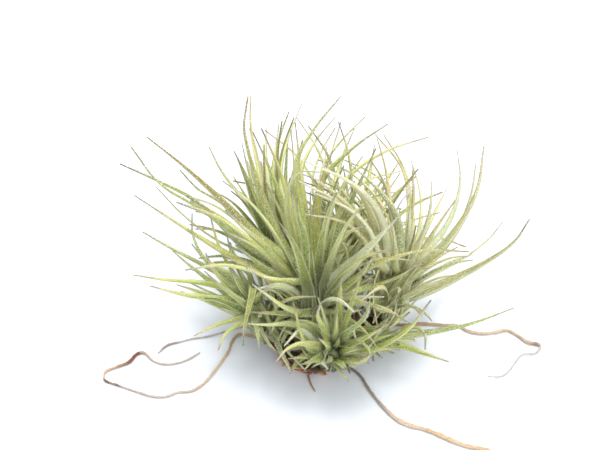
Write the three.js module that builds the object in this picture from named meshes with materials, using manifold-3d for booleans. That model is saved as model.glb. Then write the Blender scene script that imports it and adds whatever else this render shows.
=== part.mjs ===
// Ionantha mexico air plant: a clump of seven rosettes on one woody base, with dry leaves and wiry roots.
// Millimetres, +Z up, resting on z = 0. Seen from the front, +X is to the right and +Y away.
// The origin is the centre of the woody base's flat underside, below the main rosette.
import * as THREE from "three";
import { LoftGeometry } from "three/addons/geometries/LoftGeometry.js";
import { mergeVertices } from "three/addons/utils/BufferGeometryUtils.js";
import Module from "manifold-3d";

const wasm = await Module();
wasm.setup();

const vec = (x, y, z) => new THREE.Vector3(x, y, z);
const UP = vec(0, 0, 1);

// Driving dimensions of a leaf. Its length and its width at the sheath are in the tables below.
const LEAF_TIP = 0.6; // width of the last section
const LEAF_TAPER = 1.5; // how fast the width falls from the sheath
const LEAF_KEEL = 0.28; // depth of the three-sided section at the sheath, as a share of its width
const LEAF_THIN = 0.65; // the least depth, at the tip
const LEAF_SUNK = 1.8; // how far the root goes into the bulb
// Where along a leaf its sections lie, for leaves up to each length
const CUTS = [
  { upTo: 45, shares: [0, 0.3, 0.65, 1] },
  { upTo: 63, shares: [0, 0.2, 0.46, 0.75, 1] },
  { upTo: 100, shares: [0, 0.14, 0.36, 0.6, 0.82, 1] },
];

// Clearances
const FLOOR_GAP = 1.2; // the lowest that a leaf's middle line may come over the surface
const NODE_GAP = 0.35; // between leaves of different rosettes
const LEAF_REACH = 0.36; // how much of its width a leaf keeps clear on each side
const LEAST_REACH = 0.3; // added to that
const ROOT_SAMPLES = 3; // samples of a leaf that lie inside the bulb
const SEAT_GAP = 0.3; // between a rosette's bulb and the branch that carries it

// The front view that the leaves' places are read from: a picture 600 wide and 450 high
const VIEW = {
  target: vec(-4, 16, 36.5),
  distance: 420,
  tilt: THREE.MathUtils.degToRad(40),
  pixelsPerUnit: 1377,
  middle: [300, 225],
};
const AHEAD = vec(0, Math.cos(VIEW.tilt), -Math.sin(VIEW.tilt));
const ABOVE = vec(0, Math.sin(VIEW.tilt), Math.cos(VIEW.tilt));

// The point seen at a pixel, so many millimetres further along the view than the target.
function seenAt([px, py], depth) {
  const scale = (VIEW.distance + depth) / VIEW.pixelsPerUnit;
  return VIEW.target
    .clone()
    .addScaledVector(AHEAD, depth)
    .addScaledVector(vec(1, 0, 0), (px - VIEW.middle[0]) * scale)
    .addScaledVector(ABOVE, (VIEW.middle[1] - py) * scale);
}

const depthOf = (point) => point.clone().sub(VIEW.target).dot(AHEAD);

// Rosettes: the middle of the bulb, the way it points, its radius and height, and its colour.
// fill is the number of leaves that fill it out, long the length of the longest and wide their width.
const ROSETTES = {
  main: {
    at: vec(0, 0, 21), axis: vec(-0.05, 0.15, 1), radius: 6.6, height: 18,
    fill: 20, long: 54, wide: 4.4, seed: 11, color: 0xa3b25c,
  },
  right: {
    at: vec(24, 6, 17), axis: vec(0.45, 0.1, 1), radius: 5.5, height: 16,
    fill: 16, long: 44, wide: 3.6, seed: 28, color: 0xb9b982,
  },
  front: {
    at: vec(6, -14, 11.5), axis: vec(0.1, -0.8, 0.9), radius: 4.7, height: 13,
    fill: 16, long: 22, wide: 3.6, seed: 37, color: 0x97ab68,
  },
  left: {
    at: vec(-15, -1, 13), axis: vec(-0.8, -0.1, 0.8), radius: 5.1, height: 14,
    fill: 14, long: 34, wide: 3.4, seed: 41, color: 0xa9b75f,
  },
  back_left: {
    at: vec(-10, 20, 17), axis: vec(-0.3, 0.45, 1), radius: 5.5, height: 16,
    fill: 16, long: 50, wide: 4, seed: 53, color: 0x9dab58,
  },
  back_right: {
    at: vec(12, 22, 17), axis: vec(0.3, 0.5, 1), radius: 5.5, height: 16,
    fill: 17, long: 48, wide: 3.8, seed: 67, color: 0xa6b06a,
  },
  low_right: {
    at: vec(16, -6, 8.5), axis: vec(0.8, -0.35, 0.5), radius: 3.8, height: 10,
    fill: 6, long: 22, wide: 2.8, seed: 79, color: 0x8fa555,
  },
};
const WOOD = 0x8a5a3c;
const ROOT_BARK = 0xb08a62;
const ROOT_GREY = 0x9c9290;
const WOOD_ROUGHNESS = 0.9;
const LEAF_ROUGHNESS = 0.7;

// Leaves seen from the front, each with its real length, its width at the sheath, and its trace to the tip.
// far leans away from the eye and near leans towards it.
const SEEN = [
  ["main", 54, 7, "near", [[326, 290], [348, 268], [374, 242], [397, 218]]],
  ["main", 30, 6, "near", [[310, 300], [298, 293], [281, 286], [260, 288]]],
  ["main", 30, 5.4, "near", [[319, 305], [334, 300], [356, 297], [384, 297]]],
  ["front", 34, 5, "near", [[312, 331], [292, 324], [270, 325], [248, 324]]],
  ["main", 36, 4.2, "near", [[326, 311], [304, 313], [278, 313], [250, 312]]],
  ["front", 26, 4.4, "near", [[320, 348], [311, 338], [300, 331], [284, 346]]],
  ["front", 20, 5, "near", [[329, 344], [325, 353], [323, 361], [328, 369]]],
  ["front", 36, 4.6, "near", [[333, 342], [338, 320], [340, 298], [341, 278]]],
  ["front", 48, 4, "near", [[338, 355], [370, 350], [406, 331], [431, 300]]],
  ["left", 36, 3.6, "near", [[262, 318], [272, 331], [282, 353], [292, 373]]],
  ["main", 73, 4.8, "far", [[260, 260], [200, 204], [160, 182], [120, 164]]],
  ["main", 77, 5.4, "near", [[262, 240], [222, 200], [184, 166], [147, 137]]],
  ["main", 66, 4.4, "near", [[260, 270], [205, 240], [165, 215], [134, 195]]],
  ["main", 60, 3.8, "far", [[268, 262], [220, 242], [185, 217], [156, 187]]],
  ["main", 70, 4.8, "near", [[290, 256], [266, 205], [245, 135], [248, 96]]],
  ["back_left", 64, 4.4, "far", [[276, 226], [263, 185], [251, 128], [251, 95]]],
  ["back_left", 60, 4.2, "far", [[266, 232], [242, 198], [222, 172], [209, 147]]],
  ["back_left", 52, 4.4, "near", [[268, 236], [257, 212], [248, 185], [237, 157]]],
  ["back_left", 50, 3.4, "near", [[276, 226], [266, 198], [264, 168], [264, 144]]],
  ["back_left", 62, 4.6, "far", [[280, 220], [272, 180], [279, 140], [289, 112]]],
  ["main", 66, 4.4, "far", [[300, 240], [281, 185], [286, 145], [302, 103]]],
  ["main", 71, 4.8, "near", [[304, 232], [296, 168], [314, 130], [341, 96]]],
  ["main", 62, 4.2, "far", [[308, 236], [300, 180], [312, 146], [335, 117]]],
  ["back_right", 56, 3.6, "far", [[330, 225], [320, 178], [338, 145], [365, 117]]],
  ["main", 64, 4.4, "near", [[314, 235], [322, 182], [352, 149], [388, 124]]],
  ["back_right", 58, 4.0, "far", [[338, 230], [348, 180], [385, 152], [429, 137]]],
  ["main", 52, 4.0, "near", [[290, 272], [266, 246], [244, 228], [225, 210]]],
  ["main", 40, 3.6, "near", [[292, 286], [268, 270], [250, 257], [235, 245]]],
  ["main", 46, 4.0, "near", [[304, 268], [300, 235], [295, 210], [291, 185]]],
  ["main", 52, 4.0, "near", [[308, 264], [304, 235], [298, 215], [297, 196]]],
  ["main", 54, 4.6, "near", [[315, 264], [317, 220], [322, 180], [333, 150]]],
  ["main", 56, 4.2, "near", [[321, 270], [336, 232], [356, 190], [376, 148]]],
  ["main", 46, 3.4, "near", [[324, 262], [340, 225], [362, 209], [403, 209]]],
  ["back_right", 40, 3.2, "near", [[340, 236], [344, 205], [366, 181], [401, 171]]],
  ["main", 62, 4.0, "near", [[298, 250], [287, 205], [297, 174], [322, 172]]],
  ["main", 34, 4.2, "near", [[346, 292], [372, 286], [398, 277], [425, 262]]],
  ["main", 50, 2.2, "near", [[322, 244], [327, 212], [334, 188], [344, 165]]],
  ["main", 42, 4.6, "far", [[326, 284], [343, 262], [357, 243], [368, 226]]],
  ["main", 38, 4.4, "near", [[330, 296], [348, 284], [364, 270], [376, 252]]],
  ["main", 30, 4.0, "near", [[324, 302], [338, 309], [350, 322], [356, 340]]],
  ["main", 28, 3.8, "near", [[306, 304], [292, 308], [278, 320], [270, 336]]],
  ["main", 30, 4.2, "near", [[308, 308], [298, 318], [288, 330], [281, 344]]],
  ["main", 36, 4.0, "near", [[298, 282], [278, 280], [262, 276], [246, 268]]],
  ["main", 70, 3.0, "far", [[256, 252], [205, 212], [160, 184], [131, 147]]],
  ["main", 58, 2.8, "near", [[266, 244], [226, 206], [198, 189], [180, 170]]],
  ["main", 50, 2.2, "far", [[300, 235], [296, 195], [294, 160], [291, 130]]],
  ["back_left", 50, 2.4, "far", [[277, 218], [273, 182], [275, 152], [279, 124]]],
  ["back_left", 50, 2.4, "far", [[262, 228], [254, 192], [247, 165], [242, 143]]],
  ["back_right", 54, 2.6, "far", [[322, 222], [312, 186], [320, 154], [335, 128]]],
  ["back_right", 54, 2.6, "far", [[326, 222], [324, 186], [332, 152], [341, 122]]],
  ["right", 62, 3.6, "far", [[406, 252], [409, 205], [402, 168], [375, 134]]],
  ["right", 60, 3.2, "far", [[412, 255], [413, 212], [405, 170], [384, 135]]],
  ["right", 68, 4.8, "near", [[400, 258], [396, 217], [376, 188], [350, 164]]],
  ["right", 80, 4.4, "near", [[390, 258], [380, 216], [352, 184], [300, 159]]],
  ["right", 72, 4.0, "near", [[380, 262], [362, 226], [340, 198], [306, 173]]],
  ["right", 70, 3.8, "near", [[386, 262], [374, 222], [357, 190], [322, 166]]],
  ["right", 72, 3.2, "near", [[376, 256], [360, 222], [334, 200], [298, 181]]],
  ["right", 62, 3.2, "near", [[383, 264], [370, 232], [350, 210], [312, 192]]],
  ["right", 62, 2.8, "near", [[378, 264], [362, 238], [342, 222], [305, 214]]],
  ["right", 58, 2.6, "far", [[399, 245], [394, 208], [378, 178], [340, 158]]],
  ["right", 52, 2.6, "near", [[394, 240], [391, 208], [384, 182], [371, 160]]],
  ["right", 50, 3.0, "far", [[413, 255], [421, 222], [420, 190], [411, 160]]],
  ["right", 48, 2.8, "near", [[415, 254], [427, 222], [431, 200], [431, 180]]],
  ["right", 38, 3.6, "near", [[395, 268], [395, 252], [394, 237], [392, 222]]],
  ["right", 44, 4.2, "near", [[405, 264], [408, 240], [409, 222], [410, 204]]],
  ["right", 64, 4.6, "far", [[410, 266], [446, 226], [460, 185], [457, 149]]],
  ["right", 70, 4.4, "near", [[413, 274], [450, 237], [476, 192], [484, 146]]],
  ["right", 58, 3.2, "near", [[420, 270], [453, 236], [470, 198], [476, 163]]],
  ["right", 68, 5.0, "near", [[420, 292], [474, 268], [512, 244], [530, 219]]],
  ["right", 62, 3.8, "far", [[412, 284], [455, 264], [486, 242], [503, 222]]],
  ["right", 22, 3.4, "near", [[398, 300], [388, 308], [380, 311], [372, 305]]],
  ["right", 26, 3.4, "near", [[392, 286], [380, 282], [368, 282], [356, 290]]],
  ["right", 28, 3.4, "near", [[394, 294], [382, 298], [370, 307], [364, 322]]],
  ["right", 24, 3.2, "near", [[402, 300], [402, 310], [398, 320], [390, 328]]],
  ["low_right", 22, 4.0, "near", [[382, 338], [370, 328], [361, 316], [354, 302]]],
  ["back_right", 46, 4.8, "near", [[346, 256], [355, 272], [361, 292], [366, 314]]],
  ["back_right", 40, 4.4, "near", [[342, 262], [349, 280], [352, 298], [354, 318]]],
  ["back_left", 44, 4.8, "near", [[266, 258], [270, 276], [273, 294], [277, 314]]],
  ["back_left", 42, 4.4, "near", [[256, 252], [258, 270], [262, 288], [265, 304]]],
  ["left", 46, 3.4, "near", [[236, 280], [206, 260], [193, 236], [192, 213]]],
  ["left", 50, 3.8, "far", [[242, 288], [204, 266], [172, 249], [143, 232]]],
  ["left", 52, 3.4, "near", [[238, 292], [200, 283], [165, 280], [133, 275]]],
  ["left", 47, 3.8, "near", [[238, 302], [208, 298], [180, 294], [150, 286]]],
  ["left", 40, 2.8, "near", [[246, 316], [230, 321], [212, 327], [194, 336]]],
  ["left", 38, 2.4, "near", [[246, 322], [236, 326], [224, 336], [218, 350]]],
  ["left", 34, 3.8, "near", [[254, 286], [250, 303], [245, 326], [243, 346]]],
  ["left", 30, 3.6, "near", [[250, 278], [240, 266], [234, 254], [230, 242]]],
  ["left", 24, 3.4, "near", [[258, 290], [267, 296], [275, 306], [279, 320]]],
  ["left", 24, 3.2, "near", [[254, 300], [262, 309], [268, 320], [270, 334]]],
  ["left", 24, 2.8, "near", [[256, 286], [260, 296], [264, 305], [267, 314]]],
  ["left", 32, 3.4, "near", [[257, 298], [254, 313], [257, 329], [259, 347]]],
  ["left", 34, 3.6, "near", [[262, 312], [270, 326], [280, 338], [291, 346]]],
  ["left", 28, 3, "near", [[258, 322], [263, 332], [268, 342], [275, 351]]],
  ["front", 24, 2.8, "near", [[309, 348], [301, 332], [297, 317], [293, 302]]],
  ["front", 20, 3, "near", [[306, 338], [302, 345], [304, 352], [309, 359]]],
  ["front", 22, 3.2, "near", [[320, 342], [317, 330], [314, 320], [312, 310]]],
  ["front", 22, 4, "near", [[320, 350], [314, 357], [310, 363], [305, 369]]],
  ["front", 26, 3, "near", [[304, 346], [288, 350], [295, 360], [305, 370]]],
  ["front", 24, 4.2, "near", [[330, 357], [335, 365], [341, 373], [349, 381]]],
  ["front", 38, 2.9, "near", [[334, 346], [345, 325], [353, 300], [366, 262]]],
  ["front", 34, 2.6, "near", [[338, 350], [350, 341], [362, 320], [373, 290]]],
  ["front", 30, 3, "near", [[344, 328], [361, 331], [378, 329], [391, 314]]],
  ["front", 26, 2.6, "near", [[350, 362], [365, 360], [369, 350], [356, 338]]],
  ["front", 28, 2.6, "near", [[348, 354], [366, 347], [376, 335], [386, 322]]],
  ["front", 28, 4, "near", [[342, 348], [357, 342], [372, 334], [388, 324]]],
  ["front", 24, 3.6, "near", [[338, 358], [350, 361], [362, 361], [375, 352]]],
  ["front", 24, 3.4, "near", [[340, 326], [348, 313], [360, 309], [373, 317]]],
  ["front", 20, 3.4, "near", [[326, 338], [318, 328], [308, 322], [297, 320]]],
  ["front", 20, 3.2, "near", [[336, 338], [346, 332], [356, 330], [368, 333]]],
  ["front", 18, 3.2, "near", [[332, 350], [340, 357], [346, 364], [350, 373]]],
  ["front", 28, 3.8, "near", [[318, 346], [300, 344], [286, 350], [276, 362]]],
  ["front", 24, 3.6, "near", [[316, 352], [304, 356], [296, 364], [290, 374]]],
  ["front", 17, 3.6, "near", [[331, 346], [328, 339], [325, 332], [322, 327]]],
  ["front", 16, 3.4, "near", [[334, 348], [339, 344], [345, 342], [352, 343]]],
  ["front", 16, 3.4, "near", [[329, 351], [322, 352], [315, 355], [311, 362]]],
  ["front", 15, 3.4, "near", [[332, 352], [334, 358], [335, 364], [333, 371]]],
  ["low_right", 34, 3.8, "near", [[382, 344], [402, 346], [426, 354], [449, 362]]],
  ["low_right", 46, 3.2, "far", [[388, 338], [430, 332], [470, 324], [514, 308]]],
  ["low_right", 26, 2.8, "near", [[390, 336], [410, 327], [424, 333], [425, 350]]],
  ["low_right", 28, 2.8, "far", [[386, 334], [402, 335], [417, 335], [432, 330]]],
];

// Numbers from 0 to 1, the same on every run
function draws(seed) {
  let state = seed >>> 0;
  return () => {
    state = (state + 0x6d2b79f5) >>> 0;
    let mixed = Math.imul(state ^ (state >>> 15), state | 1);
    mixed ^= mixed + Math.imul(mixed ^ (mixed >>> 7), mixed | 61);
    return ((mixed ^ (mixed >>> 14)) >>> 0) / 4294967296;
  };
}

// Points at even steps along a smooth curve through the given ones.
const SAMPLES = 32;
const FINE_STEPS = 16;
const CURVE_TENSION = 0.5;
function evenly(through, count = SAMPLES) {
  const curve = new THREE.CatmullRomCurve3(through, false, "catmullrom", CURVE_TENSION);
  const fine = curve.getPoints(FINE_STEPS * (through.length - 1));
  const runs = [0];
  for (let i = 1; i < fine.length; i++) {
    runs.push(runs[i - 1] + fine[i].distanceTo(fine[i - 1]));
  }
  const total = runs[runs.length - 1];
  const points = [];
  for (let i = 0, k = 1; i <= count; i++) {
    const run = (total * i) / count;
    while (k < runs.length - 1 && runs[k] < run) k++;
    const share = (run - runs[k - 1]) / (runs[k] - runs[k - 1]);
    points.push(fine[k - 1].clone().lerp(fine[k], share));
  }
  return points;
}

const leafWidth = (s, wide) => LEAF_TIP + (wide - LEAF_TIP) * (1 - s) ** LEAF_TAPER;
const leafKeel = (s, wide) => LEAF_THIN + Math.max(LEAF_KEEL * wide - LEAF_THIN, 0) * (1 - s);

// Where a leaf that first heads for a point leaves its rosette's bulb
const LOWEST_ROOT = -0.7; // shares of half the bulb's height
const HIGHEST_ROOT = 0.95;
const NEAREST_ROOT = 0.5; // to the bulb's axis
function leafRoot(rosette, towards) {
  const axis = rosette.axis.clone().normalize();
  const way = towards.clone().sub(rosette.at);
  const rise = THREE.MathUtils.clamp(way.dot(axis) / (rosette.height / 2), LOWEST_ROOT, HIGHEST_ROOT);
  const out = way.addScaledVector(axis, -way.dot(axis)).normalize();
  const girth = rosette.radius * Math.sqrt(1 - rise * rise);
  return rosette.at
    .clone()
    .addScaledVector(axis, (rise * rosette.height) / 2)
    .addScaledVector(out, Math.max(girth - LEAF_SUNK, NEAREST_ROOT));
}

// A seen leaf bends only along the line of sight, so it stays where it is seen.
const SIGHT_SHIFTS = [0, 4, -4, 8, -8, 12, -12, 17, -17, 22, -22, 28, -28];
const SIGHT_BOWS = [0, 5, -5];
const SIGHT_POWER = 1.2; // a leaf leans more towards its tip
const LEAST_LEAN = 3;
function* seenLeafWays([name, long, , lean, trace]) {
  const rosette = ROSETTES[name];
  const start = depthOf(rosette.at);
  const seat = seenAt(trace[0], start);
  const flat = [rosette.at, ...trace.map((pixel) => seenAt(pixel, start))];
  const runs = [0];
  for (let i = 1; i < flat.length; i++) {
    runs.push(runs[i - 1] + flat[i].distanceTo(flat[i - 1]));
  }
  const width = runs[runs.length - 1];
  const way = lean === "far" ? 1 : -1;
  const reach = way * Math.sqrt(Math.max(long * long - width * width, LEAST_LEAN ** 2));
  const root = leafRoot(rosette, seat);
  for (const shift of SIGHT_SHIFTS) {
    for (const bow of SIGHT_BOWS) {
      const points = trace.map((pixel, i) => {
        const s = runs[i + 1] / width;
        return seenAt(pixel, start + (reach + shift) * s ** SIGHT_POWER + bow * Math.sin(Math.PI * s));
      });
      yield evenly([root, ...points]);
    }
  }
}

// The plant's outline, without its longest leaves, as it is seen from the front
const OUTLINE = [
  [243, 128], [300, 116], [345, 122], [390, 142], [416, 165], [432, 190], [458, 186], [452, 235], [478, 256],
  [440, 292], [432, 332], [398, 352], [350, 372], [300, 366], [262, 345], [240, 324], [212, 302], [172, 290],
  [186, 266], [160, 238], [190, 222], [168, 196], [205, 190], [222, 172],
];

function insideOutline(point) {
  const away = point.clone().sub(VIEW.target);
  const scale = VIEW.pixelsPerUnit / (VIEW.distance + away.dot(AHEAD));
  const px = VIEW.middle[0] + away.x * scale;
  const py = VIEW.middle[1] - away.dot(ABOVE) * scale;
  let inside = false;
  OUTLINE.forEach(([ax, ay], i) => {
    const [bx, by] = OUTLINE[(i + 1) % OUTLINE.length];
    if (ay > py !== by > py && px < ax + ((py - ay) * (bx - ax)) / (by - ay)) inside = !inside;
  });
  return inside;
}

// A filling leaf keeps to its rosette's spiral and inside the outline, and turns a little to find room.
const GOLDEN_ANGLE = THREE.MathUtils.degToRad(137.508);
const CUTS_DOWN = [1, 0.85, 0.7, 0.55];
const FILL_STEPS = 4;
const FILL = {
  openFrom: 0.12, // lean from the axis of the heart leaves, in radians
  openBy: 1.5, // and how much more the lowest leaves lean
  openPower: 0.85,
  sheathOpen: 0.55, // share of the lean that a leaf has at its sheath
  droopFrom: 0.15,
  droopBy: 0.5,
  longFrom: 0.72, // the leaves between the heart and the lowest are the longest
  longBy: 0.28,
  crestFrom: 0.15,
  crestBy: 0.7,
  unevenFrom: 0.85,
  unevenBy: 0.2,
  turnBy: 0.5,
  startHigh: 0.42, // where on the bulb the leaves start, as shares of its height
  startFall: 0.7,
};
const TURNS = [0, 5, -5, 10, -10, 15, -15, 21, -21, 28, -28].map(THREE.MathUtils.degToRad);
function* fillLeafWays(rosette, place, draw) {
  const axis = rosette.axis.clone().normalize();
  const side = vec(1, 0, 0).addScaledVector(axis, -axis.x).normalize();
  const front = axis.clone().cross(side);
  const open = FILL.openFrom + FILL.openBy * place.share ** FILL.openPower;
  const droop = FILL.droopFrom + FILL.droopBy * draw();
  const crestAt = Math.PI * (FILL.crestFrom + FILL.crestBy * place.share);
  const crest = FILL.longFrom + FILL.longBy * Math.sin(crestAt);
  const long = rosette.long * crest * (FILL.unevenFrom + FILL.unevenBy * draw());
  const around = place.index * GOLDEN_ANGLE + FILL.turnBy * draw();
  const height = rosette.height * (FILL.startHigh - FILL.startFall * place.share);
  const start = rosette.at.clone().addScaledVector(axis, height);
  for (const cut of CUTS_DOWN) {
    for (const tilt of TURNS) {
      for (const turn of TURNS) {
        const out = side
          .clone()
          .multiplyScalar(Math.cos(around + turn))
          .addScaledVector(front, Math.sin(around + turn));
        const points = [leafRoot(rosette, start.clone().addScaledVector(out, rosette.radius))];
        for (let k = 0; k < FILL_STEPS; k++) {
          const share = k / FILL_STEPS;
          const lean = open * (FILL.sheathOpen + (1 - FILL.sheathOpen) * share);
          const angle = lean + (tilt * (k + 1)) / FILL_STEPS + droop * share ** 2;
          points.push(
            points[k]
              .clone()
              .addScaledVector(axis, (Math.cos(angle) * long * cut) / FILL_STEPS)
              .addScaledVector(out, (Math.sin(angle) * long * cut) / FILL_STEPS),
          );
        }
        if (points.slice(FILL_STEPS - 1).every(insideOutline)) yield evenly(points);
      }
    }
  }
}

// The room that is taken: rows of points with the distance that each keeps clear
const taken = [];

// Leaves of one rosette may meet over the first of their samples.
const OWN_SKIP = 9;
function clearOfOthers(owner, points, reach, sameToo) {
  return taken.every((other) => {
    const own = other.owner === owner;
    if (own && (!sameToo || other.fixed)) return true;
    const first = own ? OWN_SKIP : 0;
    for (let i = first; i < points.length; i++) {
      for (let j = first; j < other.points.length; j++) {
        const room = reach[i] + other.reach[j] + (own ? 0 : NODE_GAP);
        if (points[i].distanceToSquared(other.points[j]) < room * room) return false;
      }
    }
    return true;
  });
}

const clearOfFloor = (points) => points.every((point, i) => i < ROOT_SAMPLES || point.z > FLOOR_GAP);
const leafReach = (points, wide) =>
  points.map((_, i) => LEAST_REACH + LEAF_REACH * leafWidth(i / SAMPLES, wide));

// Takes the first way that is clear of everything, or else the first that crosses only its own rosette.
function grow(owner, ways, wide) {
  let second = null;
  for (const points of ways) {
    if (!clearOfFloor(points)) continue;
    const way = { owner, points, reach: leafReach(points, wide) };
    if (clearOfOthers(owner, points, way.reach, true)) {
      taken.push(way);
      return points;
    }
    if (!second && clearOfOthers(owner, points, way.reach, false)) second = way;
  }
  if (second) taken.push(second);
  return second && second.points;
}

// Solids
const SAME_POINT_MM = 1e-4;
function solidOf(geometry) {
  const { index, attributes } = geometry;
  const bare = new THREE.BufferGeometry().setIndex(index).setAttribute("position", attributes.position);
  const merged = mergeVertices(bare, SAME_POINT_MM);
  return new wasm.Manifold(
    new wasm.Mesh({
      numProp: 3,
      vertProperties: new Float32Array(merged.attributes.position.array),
      triVerts: new Uint32Array(merged.index.array),
    }),
  );
}

const fuse = (solids) => solids.reduce((whole, solid) => whole.add(solid));

// Joining leaves details under this size and small sealed hollows, which are taken out.
const SMOOTH_MM = 0.02;
function geometryOf(solid) {
  const [body] = solid.simplify(SMOOTH_MM).decompose().sort((a, b) => b.volume() - a.volume());
  const { vertProperties, triVerts, numProp } = body.getMesh();
  const position = new Float32Array((vertProperties.length / numProp) * 3);
  for (let i = 0; i < position.length / 3; i++) {
    position.set(vertProperties.subarray(i * numProp, i * numProp + 3), i * 3);
  }
  return new THREE.BufferGeometry()
    .setAttribute("position", new THREE.BufferAttribute(position, 3))
    .setIndex(new THREE.BufferAttribute(triVerts, 1));
}

// A leaf: three-sided sections along its middle line, its flat side towards the rosette's axis
const SIDE_FROM = 2; // the sample that sets which way its flat side faces
function blade({ points, wide, cuts }, axis) {
  const rows = cuts.map((s) => Math.round(s * SAMPLES));
  const tangents = points.map((_, i) =>
    points[Math.min(i + 1, SAMPLES)].clone().sub(points[Math.max(i - 1, 0)]).normalize(),
  );
  // The end sections face the ones next to them.
  tangents[0] = points[rows[1]].clone().sub(points[0]).normalize();
  tangents[SAMPLES] = points[SAMPLES].clone().sub(points[rows[rows.length - 2]]).normalize();
  let side = axis.clone().cross(tangents[SIDE_FROM]).normalize();
  const sections = [];
  tangents.forEach((tangent, i) => {
    side = side.clone().addScaledVector(tangent, -side.dot(tangent)).normalize();
    if (!rows.includes(i)) return;
    const outer = tangent.clone().cross(side);
    const half = leafWidth(i / SAMPLES, wide) / 2;
    const keel = leafKeel(i / SAMPLES, wide);
    const point = points[i];
    sections.push([
      point.clone().addScaledVector(side, half).addScaledVector(outer, -keel / 3),
      point.clone().addScaledVector(outer, (keel * 2) / 3),
      point.clone().addScaledVector(side, -half).addScaledVector(outer, -keel / 3),
    ]);
  });
  return new LoftGeometry(sections, { capStart: true, capEnd: true });
}

// A wiry piece: six-sided rings whose thickness changes along it
const WIRE_SIDES = 6;
function wire(points, radiusAt, endWay) {
  const last = points.length - 1;
  const tangents = points.map((_, i) =>
    points[Math.min(i + 1, last)].clone().sub(points[Math.max(i - 1, 0)]).normalize(),
  );
  if (endWay) tangents[last] = endWay;
  let side = vec(-tangents[0].y, tangents[0].x, 0).normalize();
  const sections = tangents.map((tangent, i) => {
    side = side.clone().addScaledVector(tangent, -side.dot(tangent)).normalize();
    const top = tangent.clone().cross(side);
    return Array.from({ length: WIRE_SIDES }, (_, k) => {
      const angle = (2 * Math.PI * k) / WIRE_SIDES;
      return points[i]
        .clone()
        .addScaledVector(side, radiusAt(i / last) * Math.cos(angle))
        .addScaledVector(top, radiusAt(i / last) * Math.sin(angle));
    });
  });
  return new LoftGeometry(sections, { capStart: true, capEnd: true });
}

// The part
const plant = new THREE.Group();
plant.name = "ionantha_clump";

function addNode(name, geometry, color, roughness) {
  const mesh = new THREE.Mesh(geometry, new THREE.MeshStandardMaterial({ color, roughness, metalness: 0 }));
  mesh.name = name;
  plant.add(mesh);
  return mesh;
}

// The bulb of a rosette: flat where the branch carries it, full below the middle, drawn in at the top
const BULB_OUTLINE = [
  [0, -0.5],
  [0.45, -0.5],
  [0.92, -0.3],
  [1, -0.05],
  [0.8, 0.25],
  [0.42, 0.44],
  [0, 0.5],
];
const BULB_SIDES = 12;
function bulb(rosette) {
  const outline = BULB_OUTLINE.map(([r, z]) => new THREE.Vector2(r * rosette.radius, z * rosette.height));
  const turned = new THREE.LatheGeometry(outline, BULB_SIDES).rotateX(Math.PI / 2);
  const turn = new THREE.Quaternion().setFromUnitVectors(UP, rosette.axis.clone().normalize());
  return turned.applyQuaternion(turn).translate(...rosette.at);
}

const axisOf = (rosette) => rosette.axis.clone().normalize();

// The woody base: a low dome, flat underneath, with a branch to each rosette
const DOME = { width: 22, depth: 24, height: 10.6, sides: 14 };
const DOME_OUTLINE = [
  [0, 0],
  [0.96, 0],
  [1, 0.12],
  [0.94, 0.42],
  [0.7, 0.76],
  [0.36, 0.95],
  [0, 1],
];
const BRANCH_SHARE = 0.46; // of the bulb's radius
const BRANCH_STEPS = 6;
const BRANCH_FROM = { share: 0.4, height: 3 }; // where a branch starts in the dome
const BRANCH_BEND = 4.5; // how far under the bulb it comes into line with the axis
const BRANCH_END = 1.2; // length of its last, straight step
const BRANCH_ROOM = 0.2; // that it keeps clear round it

function dome() {
  const outline = DOME_OUTLINE.map(([r, z]) => new THREE.Vector2((r * DOME.width) / 2, z * DOME.height));
  const turned = new THREE.LatheGeometry(outline, DOME.sides).rotateX(Math.PI / 2);
  return turned.scale(1, DOME.depth / DOME.width, 1);
}

function branchLine(rosette) {
  const axis = axisOf(rosette);
  const seat = rosette.at.clone().addScaledVector(axis, -rosette.height / 2);
  const from = rosette.at.clone().multiplyScalar(BRANCH_FROM.share).setZ(BRANCH_FROM.height);
  const back = (run) => seat.clone().addScaledVector(axis, -run);
  return evenly([from, back(BRANCH_BEND), back(SEAT_GAP + BRANCH_END), back(SEAT_GAP)], BRANCH_STEPS);
}

// Roots: traced on the surface that they lie on, from the base outwards
const ROOTS = {
  root_left: {
    thick: 1.1,
    thin: 0.8,
    from: vec(-11.6, 1.5, 0),
    trace: [
      [239, 334], [229, 350], [219, 365], [207, 380], [194, 390], [178, 392], [162, 397], [148, 395],
      [133, 390], [118, 385], [105, 380], [102, 376], [109, 369], [120, 366], [128, 363], [136, 355],
      [142, 350], [146, 354], [154, 361], [166, 364], [184, 361], [200, 352],
    ],
  },
  root_left_thin: {
    thick: 0.75,
    thin: 0.65,
    from: vec(-9.95, 5.95, 0),
    trace: [[250, 326], [237, 328], [220, 333], [204, 337], [190, 339], [176, 343], [166, 346], [158, 353]],
  },
  root_right: {
    thick: 1.5,
    thin: 0.8,
    from: vec(12.3, 3.4, 0),
    trace: [
      [378, 322], [396, 324], [410, 325], [424, 323], [440, 325], [456, 325], [466, 330], [480, 333],
      [496, 332], [510, 330], [520, 337], [530, 343], [540, 345], [538, 351], [530, 354], [522, 354],
      [515, 362], [508, 371], [498, 377], [488, 376],
    ],
  },
  root_front: {
    thick: 1.5,
    thin: 1,
    from: vec(8, -9.4, 0),
    trace: [
      [356, 370], [364, 381], [373, 394], [382, 405], [392, 415], [404, 423], [418, 427], [431, 431],
      [445, 437], [459, 443], [473, 447], [490, 450],
    ],
  },
  root_small: {
    thick: 0.7,
    thin: 0.65,
    from: vec(-1.5, -12.5, 0),
    trace: [[309, 381], [312, 385], [315, 391]],
  },
};

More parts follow.
